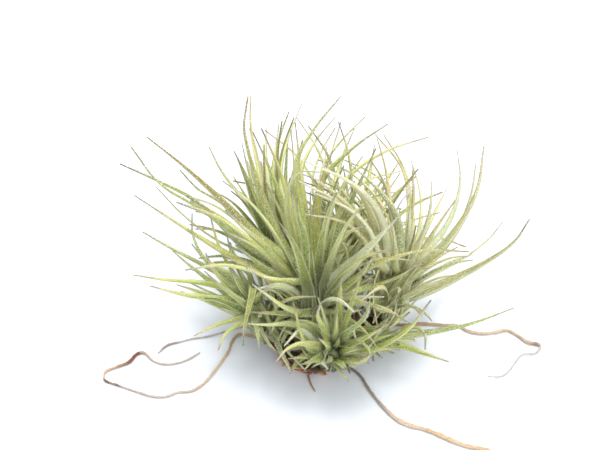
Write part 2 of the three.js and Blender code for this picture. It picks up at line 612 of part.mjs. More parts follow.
// The point of the surface, raised by a root's radius, that is seen at a pixel
function onSurface(pixel, rise) {
  const eye = VIEW.target.clone().addScaledVector(AHEAD, -VIEW.distance);
  const sight = seenAt(pixel, 0).sub(eye);
  return eye.addScaledVector(sight, (rise - eye.z) / sight.z);
}

const ROOT_STEP = 4;
const ROOT_ROOM = 0.3; // that a root keeps clear round it
function rootLine(root) {
  const rise = root.thick / 2;
  const through = [root.from.clone().setZ(rise), ...root.trace.map((pixel) => onSurface(pixel, rise))];
  const run = through.slice(1).reduce((sum, point, i) => sum + point.distanceTo(through[i]), 0);
  return evenly(through, Math.round(run / ROOT_STEP));
}

// A thin curly root at the back, which stands free of the surface
const CURLY = {
  start: [vec(8.6, 9.4, 3), vec(14, 16, 6), vec(20, 30, 12)],
  thick: 0.8,
  depth: 20,
  steps: 22,
  trace: [[397, 210], [400, 202], [410, 192], [417, 185], [404, 190], [390, 193], [378, 190], [368, 193]],
};

// Balls of room along each bulb's axis: their heights and reaches as shares of its height and radius
const BULB_ROOM = [[-0.35, 0.85], [0, 1], [0.3, 0.8]];
for (const [owner, rosette] of Object.entries(ROSETTES)) {
  const axis = axisOf(rosette);
  taken.push({
    owner,
    fixed: true,
    points: BULB_ROOM.map(([share]) => rosette.at.clone().addScaledVector(axis, share * rosette.height)),
    reach: BULB_ROOM.map(([, share]) => share * rosette.radius),
  });
}

// Rings of points that fill the dome: the share of its width, the height and the reach of each
const DOME_ROOM = [
  { share: 0, rise: 5, reach: 5 },
  { share: 0.45, rise: 5, reach: 5 },
  { share: 0.75, rise: 3, reach: 3.5 },
];
const DOME_ROOM_SIDES = 12;
for (const { share, rise, reach } of DOME_ROOM) {
  const ring = Array.from({ length: DOME_ROOM_SIDES }, (_, k) => {
    const angle = (2 * Math.PI * k) / DOME_ROOM_SIDES;
    return vec((Math.cos(angle) * share * DOME.width) / 2, (Math.sin(angle) * share * DOME.depth) / 2, rise);
  });
  taken.push({ owner: "woody_base", fixed: true, points: ring, reach: ring.map(() => reach) });
}

const woody = [solidOf(dome())];
for (const rosette of Object.values(ROSETTES)) {
  const line = branchLine(rosette);
  const radius = rosette.radius * BRANCH_SHARE;
  woody.push(solidOf(wire(line, () => radius, axisOf(rosette))));
  const points = line.slice(0, -1);
  taken.push({ owner: "woody_base", fixed: true, points, reach: points.map(() => radius + BRANCH_ROOM) });
}

const rootSolids = {};
for (const [name, root] of Object.entries(ROOTS)) {
  const line = rootLine(root);
  const radiusAt = (s) => (root.thick + (root.thin - root.thick) * s) / 2;
  rootSolids[name] = wire(line, radiusAt);
  taken.push({ owner: name, fixed: true, points: line, reach: line.map(() => root.thick / 2 + ROOT_ROOM) });
}
const curlyThrough = [...CURLY.start, ...CURLY.trace.map((pixel) => seenAt(pixel, CURLY.depth))];
const curlyLine = evenly(curlyThrough, CURLY.steps);
rootSolids.root_back = wire(curlyLine, () => CURLY.thick / 2);
taken.push({
  owner: "root_back",
  fixed: true,
  points: curlyLine,
  reach: curlyLine.map(() => CURLY.thick / 2 + ROOT_ROOM),
});

// Old leaf bases: short pointed scales that stand out of the dome on a spiral
const SCALES = {
  count: 20,
  long: 10,
  wide: 5,
  sunk: 1.2,
  low: 1.6, // heights of the lowest and the highest
  high: 7.5,
  riseFrom: 0.25, // how steeply the lowest stand
  riseBy: 0.5,
  bends: [[0.5, 0.5], [0.32, 0.75]], // shares of the length that each half runs out and climbs
  cuts: [0, 0.5, 1],
};

function domeRadius(z) {
  const i = DOME_OUTLINE.findIndex(([, share], k) => k > 1 && share * DOME.height >= z);
  const [[r0, z0], [r1, z1]] = [DOME_OUTLINE[i - 1], DOME_OUTLINE[i]];
  return (DOME.width / 2) * (r0 + ((r1 - r0) * (z / DOME.height - z0)) / (z1 - z0));
}

function* scaleWays(index) {
  const share = (index + 0.5) / SCALES.count;
  const z = SCALES.low + (SCALES.high - SCALES.low) * share;
  for (const turn of TURNS) {
    const angle = index * GOLDEN_ANGLE + turn;
    const out = vec(Math.cos(angle), (Math.sin(angle) * DOME.depth) / DOME.width, 0);
    const root = out.clone().multiplyScalar(domeRadius(z) - SCALES.sunk).setZ(z);
    const rise = SCALES.riseFrom + SCALES.riseBy * share;
    const points = [root];
    for (const [run, climb] of SCALES.bends) {
      const last = points[points.length - 1].clone();
      last.addScaledVector(out, SCALES.long * run).addScaledVector(UP, SCALES.long * climb * rise);
      points.push(last);
    }
    yield evenly(points);
  }
}

const blades = Object.fromEntries(Object.keys(ROSETTES).map((name) => [name, []]));
function addLeaf(name, ways, long, wide) {
  const points = grow(name, ways, wide);
  if (points) blades[name].push({ points, wide, cuts: CUTS.find(({ upTo }) => long < upTo).shares });
}

for (const row of SEEN) addLeaf(row[0], seenLeafWays(row), row[1], row[2]);
for (let index = 0; index < SCALES.count; index++) {
  const points = grow("woody_base", scaleWays(index), SCALES.wide);
  if (points) woody.push(solidOf(blade({ points, wide: SCALES.wide, cuts: SCALES.cuts }, UP)));
}
for (const [name, rosette] of Object.entries(ROSETTES)) {
  const draw = draws(rosette.seed);
  for (let index = 0; index < rosette.fill; index++) {
    const place = { index, share: (index + 0.5) / rosette.fill };
    addLeaf(name, fillLeafWays(rosette, place, draw), rosette.long, rosette.wide);
  }
}

addNode("woody_base", geometryOf(fuse(woody)), WOOD, WOOD_ROUGHNESS);
for (const [name, rosette] of Object.entries(ROSETTES)) {
  const solids = blades[name].map((leaf) => solidOf(blade(leaf, axisOf(rosette))));
  const whole = fuse([solidOf(bulb(rosette)), ...solids]);
  addNode(`rosette_${name}`, geometryOf(whole), rosette.color, LEAF_ROUGHNESS);
}
for (const [name, geometry] of Object.entries(rootSolids)) {
  const color = name === "root_back" ? ROOT_GREY : ROOT_BARK;
  addNode(name, geometryOf(solidOf(geometry)), color, WOOD_ROUGHNESS);
}

export default plant;
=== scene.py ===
import math

import bpy
import numpy as np
from mathutils import Matrix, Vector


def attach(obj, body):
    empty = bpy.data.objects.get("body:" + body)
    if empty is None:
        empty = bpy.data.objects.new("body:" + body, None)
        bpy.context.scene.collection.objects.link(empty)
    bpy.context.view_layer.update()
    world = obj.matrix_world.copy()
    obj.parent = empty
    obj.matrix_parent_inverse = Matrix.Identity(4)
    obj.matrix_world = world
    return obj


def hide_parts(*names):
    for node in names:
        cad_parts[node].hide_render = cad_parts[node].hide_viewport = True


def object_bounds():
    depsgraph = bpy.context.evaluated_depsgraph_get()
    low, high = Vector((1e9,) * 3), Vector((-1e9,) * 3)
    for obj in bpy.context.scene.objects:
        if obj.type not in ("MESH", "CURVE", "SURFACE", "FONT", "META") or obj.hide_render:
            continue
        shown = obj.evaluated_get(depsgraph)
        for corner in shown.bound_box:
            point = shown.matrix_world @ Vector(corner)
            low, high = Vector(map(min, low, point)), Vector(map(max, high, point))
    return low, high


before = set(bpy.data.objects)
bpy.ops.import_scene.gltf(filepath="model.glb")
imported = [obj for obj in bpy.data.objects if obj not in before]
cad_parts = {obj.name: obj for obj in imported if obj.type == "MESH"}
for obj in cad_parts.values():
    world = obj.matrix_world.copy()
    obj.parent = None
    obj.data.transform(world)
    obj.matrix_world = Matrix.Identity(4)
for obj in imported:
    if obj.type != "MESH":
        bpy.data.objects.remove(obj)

cad_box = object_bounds()
scene = bpy.context.scene

# Ionantha mexico air plant: the dressed rosettes, base and roots.
# Lengths are millimetres in the part's frame, and MM turns them into metres when a mesh is made.
MM = 0.001
UP = np.array([0.0, 0.0, 1.0])
RIGHT = np.array([1.0, 0.0, 0.0])

# Leaf dimensions, as in the part
LEAF_TIP = 0.6  # width at the tip
LEAF_TAPER = 1.5
LEAF_KEEL = 0.28  # depth of the keel as a share of the width
LEAF_THIN = 0.65  # least depth
LEAF_SUNK = 1.8  # depth of a leaf's root in its bulb

# Clearances, as in the part: above the surface, between nodes, and round a leaf by its width
FLOOR_GAP = 1.2
NODE_GAP = 0.35
LEAF_REACH = 0.36
LEAST_REACH = 0.3
ROOT_SAMPLES = 3
SEAT_GAP = 0.3

# The front view that the leaves' places are read from: a picture 600 wide and 450 high
VIEW = {
    "target": np.array([-4.0, 16.0, 36.5]),
    "distance": 420.0,
    "tilt": math.radians(40),
    "pixels_per_unit": 1377.0,
    "middle": (300.0, 225.0),
    "width": 600.0,
}
AHEAD = np.array([0.0, math.cos(VIEW["tilt"]), -math.sin(VIEW["tilt"])])
ABOVE = np.array([0.0, math.sin(VIEW["tilt"]), math.cos(VIEW["tilt"])])


def unit(vector):
    return vector / np.linalg.norm(vector)


def square_to(axis):
    """Two directions square to an axis and to each other, the first of them to the right."""
    side = unit(RIGHT - axis * axis[0])
    return side, np.cross(axis, side)


def round_angles(count):
    return np.arange(count) * 2 * math.pi / count


def steps_of(points):
    """The length of each step along a line of points."""
    return np.linalg.norm(np.diff(points, axis=0), axis=1)


def runs_of(points):
    """How far along a line each of its points is."""
    return np.concatenate([[0], np.cumsum(steps_of(points))])


def seen_at(pixel, depth):
    """The point seen at a pixel, so many millimetres further along the view than the target."""
    scale = (VIEW["distance"] + depth) / VIEW["pixels_per_unit"]
    across = (pixel[0] - VIEW["middle"][0]) * scale
    up = (VIEW["middle"][1] - pixel[1]) * scale
    return VIEW["target"] + AHEAD * depth + RIGHT * across + ABOVE * up


def depth_of(point):
    return (point - VIEW["target"]) @ AHEAD


# Rosettes: the middle of the bulb, the way it points, its radius and height. fill counts the leaves of its
# spiral, long is about the length of the longest of them, and wide is their width at the sheath.
ROSETTES = {
    "main": {
        "at": (0, 0, 21), "axis": (-0.05, 0.15, 1), "radius": 6.6, "height": 18,
        "fill": 20, "long": 54, "wide": 4.4, "seed": 11,
    },
    "right": {
        "at": (24, 6, 17), "axis": (0.45, 0.1, 1), "radius": 5.5, "height": 16,
        "fill": 16, "long": 44, "wide": 3.6, "seed": 28,
    },
    "front": {
        "at": (6, -14, 11.5), "axis": (0.1, -0.8, 0.9), "radius": 4.7, "height": 13,
        "fill": 16, "long": 22, "wide": 3.6, "seed": 37,
    },
    "left": {
        "at": (-15, -1, 13), "axis": (-0.8, -0.1, 0.8), "radius": 5.1, "height": 14,
        "fill": 14, "long": 34, "wide": 3.4, "seed": 41,
    },
    "back_left": {
        "at": (-10, 20, 17), "axis": (-0.3, 0.45, 1), "radius": 5.5, "height": 16,
        "fill": 16, "long": 50, "wide": 4, "seed": 53,
    },
    "back_right": {
        "at": (12, 22, 17), "axis": (0.3, 0.5, 1), "radius": 5.5, "height": 16,
        "fill": 17, "long": 48, "wide": 3.8, "seed": 67,
    },
    "low_right": {
        "at": (16, -6, 8.5), "axis": (0.8, -0.35, 0.5), "radius": 3.8, "height": 10,
        "fill": 6, "long": 22, "wide": 2.8, "seed": 79,
    },
}
for rosette in ROSETTES.values():
    rosette["at"] = np.array(rosette["at"], float)
    rosette["axis"] = unit(np.array(rosette["axis"], float))

# Leaves seen from the front, each with its real length, its width at the sheath, and its trace to the tip in
# pixels of the front view. far leans away from the eye and near leans towards it.
SEEN = [
    ("main", 54, 7, "near", (326, 290), (348, 268), (374, 242), (397, 218)),
    ("main", 30, 6, "near", (310, 300), (298, 293), (281, 286), (260, 288)),
    ("main", 30, 5.4, "near", (319, 305), (334, 300), (356, 297), (384, 297)),
    ("front", 34, 5, "near", (312, 331), (292, 324), (270, 325), (248, 324)),
    ("main", 36, 4.2, "near", (326, 311), (304, 313), (278, 313), (250, 312)),
    ("front", 26, 4.4, "near", (320, 348), (311, 338), (300, 331), (284, 346)),
    ("front", 20, 5, "near", (329, 344), (325, 353), (323, 361), (328, 369)),
    ("front", 36, 4.6, "near", (333, 342), (338, 320), (340, 298), (341, 278)),
    ("front", 48, 4, "near", (338, 355), (370, 350), (406, 331), (431, 300)),
    ("left", 36, 3.6, "near", (262, 318), (272, 331), (282, 353), (292, 373)),
    ("main", 73, 4.8, "far", (260, 260), (200, 204), (160, 182), (120, 164)),
    ("main", 77, 5.4, "near", (262, 240), (222, 200), (184, 166), (147, 137)),
    ("main", 66, 4.4, "near", (260, 270), (205, 240), (165, 215), (134, 195)),
    ("main", 60, 3.8, "far", (268, 262), (220, 242), (185, 217), (156, 187)),
    ("main", 70, 4.8, "near", (290, 256), (266, 205), (245, 135), (248, 96)),
    ("back_left", 64, 4.4, "far", (276, 226), (263, 185), (251, 128), (251, 95)),
    ("back_left", 60, 4.2, "far", (266, 232), (242, 198), (222, 172), (209, 147)),
    ("back_left", 52, 4.4, "near", (268, 236), (257, 212), (248, 185), (237, 157)),
    ("back_left", 50, 3.4, "near", (276, 226), (266, 198), (264, 168), (264, 144)),
    ("back_left", 62, 4.6, "far", (280, 220), (272, 180), (279, 140), (289, 112)),
    ("main", 66, 4.4, "far", (300, 240), (281, 185), (286, 145), (302, 103)),
    ("main", 71, 4.8, "near", (304, 232), (296, 168), (314, 130), (341, 96)),
    ("main", 62, 4.2, "far", (308, 236), (300, 180), (312, 146), (335, 117)),
    ("back_right", 56, 3.6, "far", (330, 225), (320, 178), (338, 145), (365, 117)),
    ("main", 64, 4.4, "near", (314, 235), (322, 182), (352, 149), (388, 124)),
    ("back_right", 58, 4.0, "far", (338, 230), (348, 180), (385, 152), (429, 137)),
    ("main", 52, 4.0, "near", (290, 272), (266, 246), (244, 228), (225, 210)),
    ("main", 40, 3.6, "near", (292, 286), (268, 270), (250, 257), (235, 245)),
    ("main", 46, 4.0, "near", (304, 268), (300, 235), (295, 210), (291, 185)),
    ("main", 52, 4.0, "near", (308, 264), (304, 235), (298, 215), (297, 196)),
    ("main", 54, 4.6, "near", (315, 264), (317, 220), (322, 180), (333, 150)),
    ("main", 56, 4.2, "near", (321, 270), (336, 232), (356, 190), (376, 148)),
    ("main", 46, 3.4, "near", (324, 262), (340, 225), (362, 209), (403, 209)),
    ("back_right", 40, 3.2, "near", (340, 236), (344, 205), (366, 181), (401, 171)),
    ("main", 62, 4.0, "near", (298, 250), (287, 205), (297, 174), (322, 172)),
    ("main", 34, 4.2, "near", (346, 292), (372, 286), (398, 277), (425, 262)),
    ("main", 50, 2.2, "near", (322, 244), (327, 212), (334, 188), (344, 165)),
    ("main", 42, 4.6, "far", (326, 284), (343, 262), (357, 243), (368, 226)),
    ("main", 38, 4.4, "near", (330, 296), (348, 284), (364, 270), (376, 252)),
    ("main", 30, 4.0, "near", (324, 302), (338, 309), (350, 322), (356, 340)),
    ("main", 28, 3.8, "near", (306, 304), (292, 308), (278, 320), (270, 336)),
    ("main", 30, 4.2, "near", (308, 308), (298, 318), (288, 330), (281, 344)),
    ("main", 36, 4.0, "near", (298, 282), (278, 280), (262, 276), (246, 268)),
    ("main", 70, 3.0, "far", (256, 252), (205, 212), (160, 184), (131, 147)),
    ("main", 58, 2.8, "near", (266, 244), (226, 206), (198, 189), (180, 170)),
    ("main", 50, 2.2, "far", (300, 235), (296, 195), (294, 160), (291, 130)),
    ("back_left", 50, 2.4, "far", (277, 218), (273, 182), (275, 152), (279, 124)),
    ("back_left", 50, 2.4, "far", (262, 228), (254, 192), (247, 165), (242, 143)),
    ("back_right", 54, 2.6, "far", (322, 222), (312, 186), (320, 154), (335, 128)),
    ("back_right", 54, 2.6, "far", (326, 222), (324, 186), (332, 152), (341, 122)),
    ("right", 62, 3.6, "far", (406, 252), (409, 205), (402, 168), (375, 134)),
    ("right", 60, 3.2, "far", (412, 255), (413, 212), (405, 170), (384, 135)),
    ("right", 68, 4.8, "near", (400, 258), (396, 217), (376, 188), (350, 164)),
    ("right", 80, 4.4, "near", (390, 258), (380, 216), (352, 184), (300, 159)),
    ("right", 72, 4.0, "near", (380, 262), (362, 226), (340, 198), (306, 173)),
    ("right", 70, 3.8, "near", (386, 262), (374, 222), (357, 190), (322, 166)),
    ("right", 72, 3.2, "near", (376, 256), (360, 222), (334, 200), (298, 181)),
    ("right", 62, 3.2, "near", (383, 264), (370, 232), (350, 210), (312, 192)),
    ("right", 62, 2.8, "near", (378, 264), (362, 238), (342, 222), (305, 214)),
    ("right", 58, 2.6, "far", (399, 245), (394, 208), (378, 178), (340, 158)),
    ("right", 52, 2.6, "near", (394, 240), (391, 208), (384, 182), (371, 160)),
    ("right", 50, 3.0, "far", (413, 255), (421, 222), (420, 190), (411, 160)),
    ("right", 48, 2.8, "near", (415, 254), (427, 222), (431, 200), (431, 180)),
    ("right", 38, 3.6, "near", (395, 268), (395, 252), (394, 237), (392, 222)),
    ("right", 44, 4.2, "near", (405, 264), (408, 240), (409, 222), (410, 204)),
    ("right", 64, 4.6, "far", (410, 266), (446, 226), (460, 185), (457, 149)),
    ("right", 70, 4.4, "near", (413, 274), (450, 237), (476, 192), (484, 146)),
    ("right", 58, 3.2, "near", (420, 270), (453, 236), (470, 198), (476, 163)),
    ("right", 68, 5.0, "near", (420, 292), (474, 268), (512, 244), (530, 219)),
    ("right", 62, 3.8, "far", (412, 284), (455, 264), (486, 242), (503, 222)),
    ("right", 22, 3.4, "near", (398, 300), (388, 308), (380, 311), (372, 305)),
    ("right", 26, 3.4, "near", (392, 286), (380, 282), (368, 282), (356, 290)),
    ("right", 28, 3.4, "near", (394, 294), (382, 298), (370, 307), (364, 322)),
    ("right", 24, 3.2, "near", (402, 300), (402, 310), (398, 320), (390, 328)),
    ("low_right", 22, 4.0, "near", (382, 338), (370, 328), (361, 316), (354, 302)),
    ("back_right", 46, 4.8, "near", (346, 256), (355, 272), (361, 292), (366, 314)),
    ("back_right", 40, 4.4, "near", (342, 262), (349, 280), (352, 298), (354, 318)),
    ("back_left", 44, 4.8, "near", (266, 258), (270, 276), (273, 294), (277, 314)),
    ("back_left", 42, 4.4, "near", (256, 252), (258, 270), (262, 288), (265, 304)),
    ("left", 46, 3.4, "near", (236, 280), (206, 260), (193, 236), (192, 213)),
    ("left", 50, 3.8, "far", (242, 288), (204, 266), (172, 249), (143, 232)),
    ("left", 52, 3.4, "near", (238, 292), (200, 283), (165, 280), (133, 275)),
    ("left", 47, 3.8, "near", (238, 302), (208, 298), (180, 294), (150, 286)),
    ("left", 40, 2.8, "near", (246, 316), (230, 321), (212, 327), (194, 336)),
    ("left", 38, 2.4, "near", (246, 322), (236, 326), (224, 336), (218, 350)),
    ("left", 34, 3.8, "near", (254, 286), (250, 303), (245, 326), (243, 346)),
    ("left", 30, 3.6, "near", (250, 278), (240, 266), (234, 254), (230, 242)),
    ("left", 24, 3.4, "near", (258, 290), (267, 296), (275, 306), (279, 320)),
    ("left", 24, 3.2, "near", (254, 300), (262, 309), (268, 320), (270, 334)),
    ("left", 24, 2.8, "near", (256, 286), (260, 296), (264, 305), (267, 314)),
    ("left", 32, 3.4, "near", (257, 298), (254, 313), (257, 329), (259, 347)),
    ("left", 34, 3.6, "near", (262, 312), (270, 326), (280, 338), (291, 346)),
    ("left", 28, 3, "near", (258, 322), (263, 332), (268, 342), (275, 351)),
    ("front", 24, 2.8, "near", (309, 348), (301, 332), (297, 317), (293, 302)),
    ("front", 20, 3, "near", (306, 338), (302, 345), (304, 352), (309, 359)),
    ("front", 22, 3.2, "near", (320, 342), (317, 330), (314, 320), (312, 310)),
    ("front", 22, 4, "near", (320, 350), (314, 357), (310, 363), (305, 369)),
    ("front", 26, 3, "near", (304, 346), (288, 350), (295, 360), (305, 370)),
    ("front", 24, 4.2, "near", (330, 357), (335, 365), (341, 373), (349, 381)),
    ("front", 38, 2.9, "near", (334, 346), (345, 325), (353, 300), (366, 262)),
    ("front", 30, 3, "near", (344, 328), (361, 331), (378, 329), (391, 314)),
    ("front", 26, 2.6, "near", (350, 362), (365, 360), (369, 350), (356, 338)),
    ("front", 28, 2.6, "near", (348, 354), (366, 347), (376, 335), (386, 322)),
    ("front", 28, 4, "near", (342, 348), (357, 342), (372, 334), (388, 324)),
    ("front", 24, 3.6, "near", (338, 358), (350, 361), (362, 361), (375, 352)),
    ("front", 24, 3.4, "near", (340, 326), (348, 313), (360, 309), (373, 317)),
    ("front", 20, 3.4, "near", (326, 338), (318, 328), (308, 322), (297, 320)),
    ("front", 20, 3.2, "near", (336, 338), (346, 332), (356, 330), (368, 333)),
    ("front", 18, 3.2, "near", (332, 350), (340, 357), (346, 364), (350, 373)),
    ("front", 28, 3.8, "near", (318, 346), (300, 344), (286, 350), (276, 362)),
    ("front", 24, 3.6, "near", (316, 352), (304, 356), (296, 364), (290, 374)),
    ("front", 17, 3.6, "near", (331, 346), (328, 339), (325, 332), (322, 327)),
    ("front", 16, 3.4, "near", (334, 348), (339, 344), (345, 342), (352, 343)),
    ("front", 16, 3.4, "near", (329, 351), (322, 352), (315, 355), (311, 362)),
    ("front", 15, 3.4, "near", (332, 352), (334, 358), (335, 364), (333, 371)),
    ("low_right", 34, 3.8, "near", (382, 344), (402, 346), (426, 354), (449, 362)),
    ("low_right", 46, 3.2, "far", (388, 338), (430, 332), (470, 324), (514, 308)),
    ("low_right", 26, 2.8, "near", (390, 336), (410, 327), (424, 333), (425, 350)),
    ("low_right", 28, 2.8, "far", (386, 334), (402, 335), (417, 335), (432, 330)),
]


def draws(seed):
    """Numbers from 0 to 1, the same on every run."""
    mask = 0xFFFFFFFF
    state = seed & mask
    while True:
        state = (state + 0x6D2B79F5) & mask
        mixed = ((state ^ (state >> 15)) * (state | 1)) & mask
        mixed ^= (mixed + (mixed ^ (mixed >> 7)) * (mixed | 61)) & mask
        yield (mixed ^ (mixed >> 14)) / (mask + 1)


SAMPLES = 32  # steps along a leaf's middle line
FINE_STEPS = 16


def evenly(through, count=SAMPLES):
    """Points at even steps along a smooth curve through the given ones."""
    through = np.asarray(through)
    spans = len(through) - 1
    ends = np.vstack([2 * through[0] - through[1], through, 2 * through[-1] - through[-2]])
    place = np.linspace(0, spans, FINE_STEPS * spans + 1)
    span = np.minimum(place.astype(int), spans - 1)
    t = (place - span)[:, None]
    p0, p1, p2, p3 = (ends[span + k] for k in range(4))
    start, end = 0.5 * (p2 - p0), 0.5 * (p3 - p1)
    squared = 3 * p2 - 3 * p1 - 2 * start - end
    cubed = 2 * p1 - 2 * p2 + start + end
    fine = p1 + start * t + squared * t**2 + cubed * t**3
    runs = runs_of(fine)
    wanted = runs[-1] * np.arange(count + 1) / count
    after = np.clip(np.searchsorted(runs, wanted), 1, len(runs) - 1)
    share = (wanted - runs[after - 1]) / (runs[after] - runs[after - 1])
    return fine[after - 1] + (fine[after] - fine[after - 1]) * share[:, None]


def leaf_width(s, wide):
    return LEAF_TIP + (wide - LEAF_TIP) * (1 - s) ** LEAF_TAPER


def leaf_keel(s, wide):
    return LEAF_THIN + max(LEAF_KEEL * wide - LEAF_THIN, 0) * (1 - s)


# Where a leaf may leave its bulb, as shares of half the bulb's height, and the least distance from its axis
LOWEST_ROOT = -0.7
HIGHEST_ROOT = 0.95
NEAREST_ROOT = 0.5


def leaf_root(rosette, towards):
    """Where a leaf that first heads for a point leaves its rosette's bulb."""
    axis = rosette["axis"]
    way = towards - rosette["at"]
    rise = min(max(way @ axis / (rosette["height"] / 2), LOWEST_ROOT), HIGHEST_ROOT)
    out = unit(way - axis * (way @ axis))
    girth = rosette["radius"] * math.sqrt(1 - rise * rise)
    away = max(girth - LEAF_SUNK, NEAREST_ROOT)
    return rosette["at"] + axis * (rise * rosette["height"] / 2) + out * away


# A seen leaf bends only along the line of sight, so it stays where it is seen.
SIGHT_SHIFTS = [0, 4, -4, 8, -8, 12, -12, 17, -17, 22, -22, 28, -28]
SIGHT_BOWS = [0, 5, -5]
SIGHT_POWER = 1.2
LEAST_LEAN = 3


def seen_leaf_ways(name, long, lean, trace):
    """Middle lines for a seen leaf, each with the same trace and another lean or bow."""
    rosette = ROSETTES[name]
    start = depth_of(rosette["at"])
    seat = seen_at(trace[0], start)
    flat = np.array([rosette["at"]] + [seen_at(pixel, start) for pixel in trace])
    runs = runs_of(flat)[1:]
    width = runs[-1]
    shares = runs / width
    reach = math.sqrt(max(long * long - width * width, LEAST_LEAN**2)) * (1 if lean == "far" else -1)
    root = leaf_root(rosette, seat)
    for shift in SIGHT_SHIFTS:
        for bow in SIGHT_BOWS:
            depths = start + (reach + shift) * shares**SIGHT_POWER + bow * np.sin(np.pi * shares)
            yield evenly([root] + [seen_at(pixel, depth) for pixel, depth in zip(trace, depths)])


# The plant's outline, without its longest leaves, as it is seen from the front
OUTLINE = [
    (243, 128), (300, 116), (345, 122), (390, 142), (416, 165), (432, 190), (458, 186), (452, 235),
    (478, 256), (440, 292), (432, 332), (398, 352), (350, 372), (300, 366), (262, 345), (240, 324),
    (212, 302), (172, 290), (186, 266), (160, 238), (190, 222), (168, 196), (205, 190), (222, 172),
]


def inside_outline(point):
    """Whether a point is seen inside the plant's outline."""
    away = point - VIEW["target"]
    scale = VIEW["pixels_per_unit"] / (VIEW["distance"] + away @ AHEAD)
    px = VIEW["middle"][0] + away[0] * scale
    py = VIEW["middle"][1] - (away @ ABOVE) * scale
    inside = False
    for i, (ax, ay) in enumerate(OUTLINE):
        bx, by = OUTLINE[(i + 1) % len(OUTLINE)]
        if (ay > py) != (by > py) and px < ax + (py - ay) * (bx - ax) / (by - ay):
            inside = not inside
    return inside


# A filling leaf keeps to the spiral of its rosette and inside the outline, and turns a little to find room.
GOLDEN_ANGLE = math.radians(137.508)
CUTS_DOWN = [1, 0.85, 0.7, 0.55]
FILL_STEPS = 4
TURNS = [math.radians(turn) for turn in (0, 5, -5, 10, -10, 15, -15, 21, -21, 28, -28)]
FILL = {
    "open_from": 0.12,
    "open_by": 1.5,
    "open_power": 0.85,
    "sheath_open": 0.55,
    "droop_from": 0.15,
    "droop_by": 0.5,
    "long_from": 0.72,
    "long_by": 0.28,
    "crest_from": 0.15,
    "crest_by": 0.7,
    "uneven_from": 0.85,
    "uneven_by": 0.2,
    "turn_by": 0.5,
    "start_high": 0.42,
    "start_fall": 0.7,
}


def fill_leaf_ways(rosette, index, share, draw):
    """Middle lines for a leaf at its place on the spiral, each turned, tilted or cut a little further."""
    axis = rosette["axis"]
    side, front = square_to(axis)
    opened = FILL["open_from"] + FILL["open_by"] * share ** FILL["open_power"]
    droop = FILL["droop_from"] + FILL["droop_by"] * next(draw)
    crest = math.sin(math.pi * (FILL["crest_from"] + FILL["crest_by"] * share))
    long = rosette["long"] * (FILL["long_from"] + FILL["long_by"] * crest)
    long = long * (FILL["uneven_from"] + FILL["uneven_by"] * next(draw))
    around = index * GOLDEN_ANGLE + FILL["turn_by"] * next(draw)
    start = rosette["at"] + axis * (rosette["height"] * (FILL["start_high"] - FILL["start_fall"] * share))
    for cut in CUTS_DOWN:
        for tilt in TURNS:
            for turn in TURNS:
                out = side * math.cos(around + turn) + front * math.sin(around + turn)
                points = [leaf_root(rosette, start + out * rosette["radius"])]
                for k in range(FILL_STEPS):
                    part = k / FILL_STEPS
                    lean = opened * (FILL["sheath_open"] + (1 - FILL["sheath_open"]) * part)
                    angle = lean + tilt * (k + 1) / FILL_STEPS + droop * part**2
                    step = long * cut / FILL_STEPS
                    climb = axis * (math.cos(angle) * step)
                    points.append(points[k] + climb + out * (math.sin(angle) * step))
                if inside_outline(points[FILL_STEPS]) and inside_outline(points[FILL_STEPS - 1]):
                    yield evenly(points)


# Leaves of one rosette may meet over the first of their samples.
OWN_SKIP = 9


class Room:
    """The room that is taken: points with the distance that each keeps clear."""

    def __init__(self):
        self.rows = {"owner": [], "fixed": [], "late": [], "points": [], "reach": []}
        self.all = None

    def take(self, owner, points, reach, fixed):
        count = len(points)
        self.rows["owner"].append(np.full(count, owner))
        self.rows["fixed"].append(np.full(count, fixed))
        self.rows["late"].append(np.arange(count) >= OWN_SKIP)
        self.rows["points"].append(np.array(points, float).reshape(-1, 3))
        self.rows["reach"].append(np.array(reach, float))
        self.all = {name: np.concatenate(rows) for name, rows in self.rows.items()}

    def clear(self, owner, points, reach, same_too):
        """Whether points are clear of other nodes and, with same_too, of the other leaves of their own."""
        room = self.all
        spare = room["reach"][:, None] + (reach.max() + NODE_GAP)
        near = (room["points"] > points.min(0) - spare) & (room["points"] < points.max(0) + spare)
        near = near.all(1)
        own = room["owner"] == owner
        for chosen, first, gap in (
            (near & ~own, 0, NODE_GAP),
            (near & own & ~room["fixed"] & room["late"] & same_too, OWN_SKIP, 0),
        ):
            away = points[first:, None] - room["points"][chosen]
            wanted = reach[first:, None] + room["reach"][chosen] + gap
            if ((away**2).sum(2) < wanted**2).any():
                return False
        return True


taken = Room()


def leaf_reach(wide):
    return LEAST_REACH + LEAF_REACH * leaf_width(np.arange(SAMPLES + 1) / SAMPLES, wide)


def grow(owner, ways, wide):
    """Takes the first way that is clear of all, or else the first that crosses only its own rosette."""
    second = None
    reach = leaf_reach(wide)
    for points in ways:
        if points[ROOT_SAMPLES:, 2].min() <= FLOOR_GAP:
            continue
        if taken.clear(owner, points, reach, True):
            taken.take(owner, points, reach, False)
            return points
        if second is None and taken.clear(owner, points, reach, False):
            second = points
    if second is not None:
        taken.take(owner, second, reach, False)
    return second


# The bulb of a rosette: shares of its radius and of its height above the middle
BULB_OUTLINE = np.array(
    [(0, -0.5), (0.45, -0.5), (0.92, -0.3), (1, -0.05), (0.8, 0.25), (0.42, 0.44), (0, 0.5)]
)

# The woody base: a low dome, flat underneath, with a branch to each rosette
DOME = {"width": 22, "depth": 24, "height": 10.6}
DOME_OUTLINE = np.array([(0, 0), (0.96, 0), (1, 0.12), (0.94, 0.42), (0.7, 0.76), (0.36, 0.95), (0, 1)])


def outline_rings(outline, count):
    """An outline without its two ends on the axis, at even steps."""
    return evenly(np.column_stack([outline[1:-1], np.zeros(len(outline) - 2)]), count)


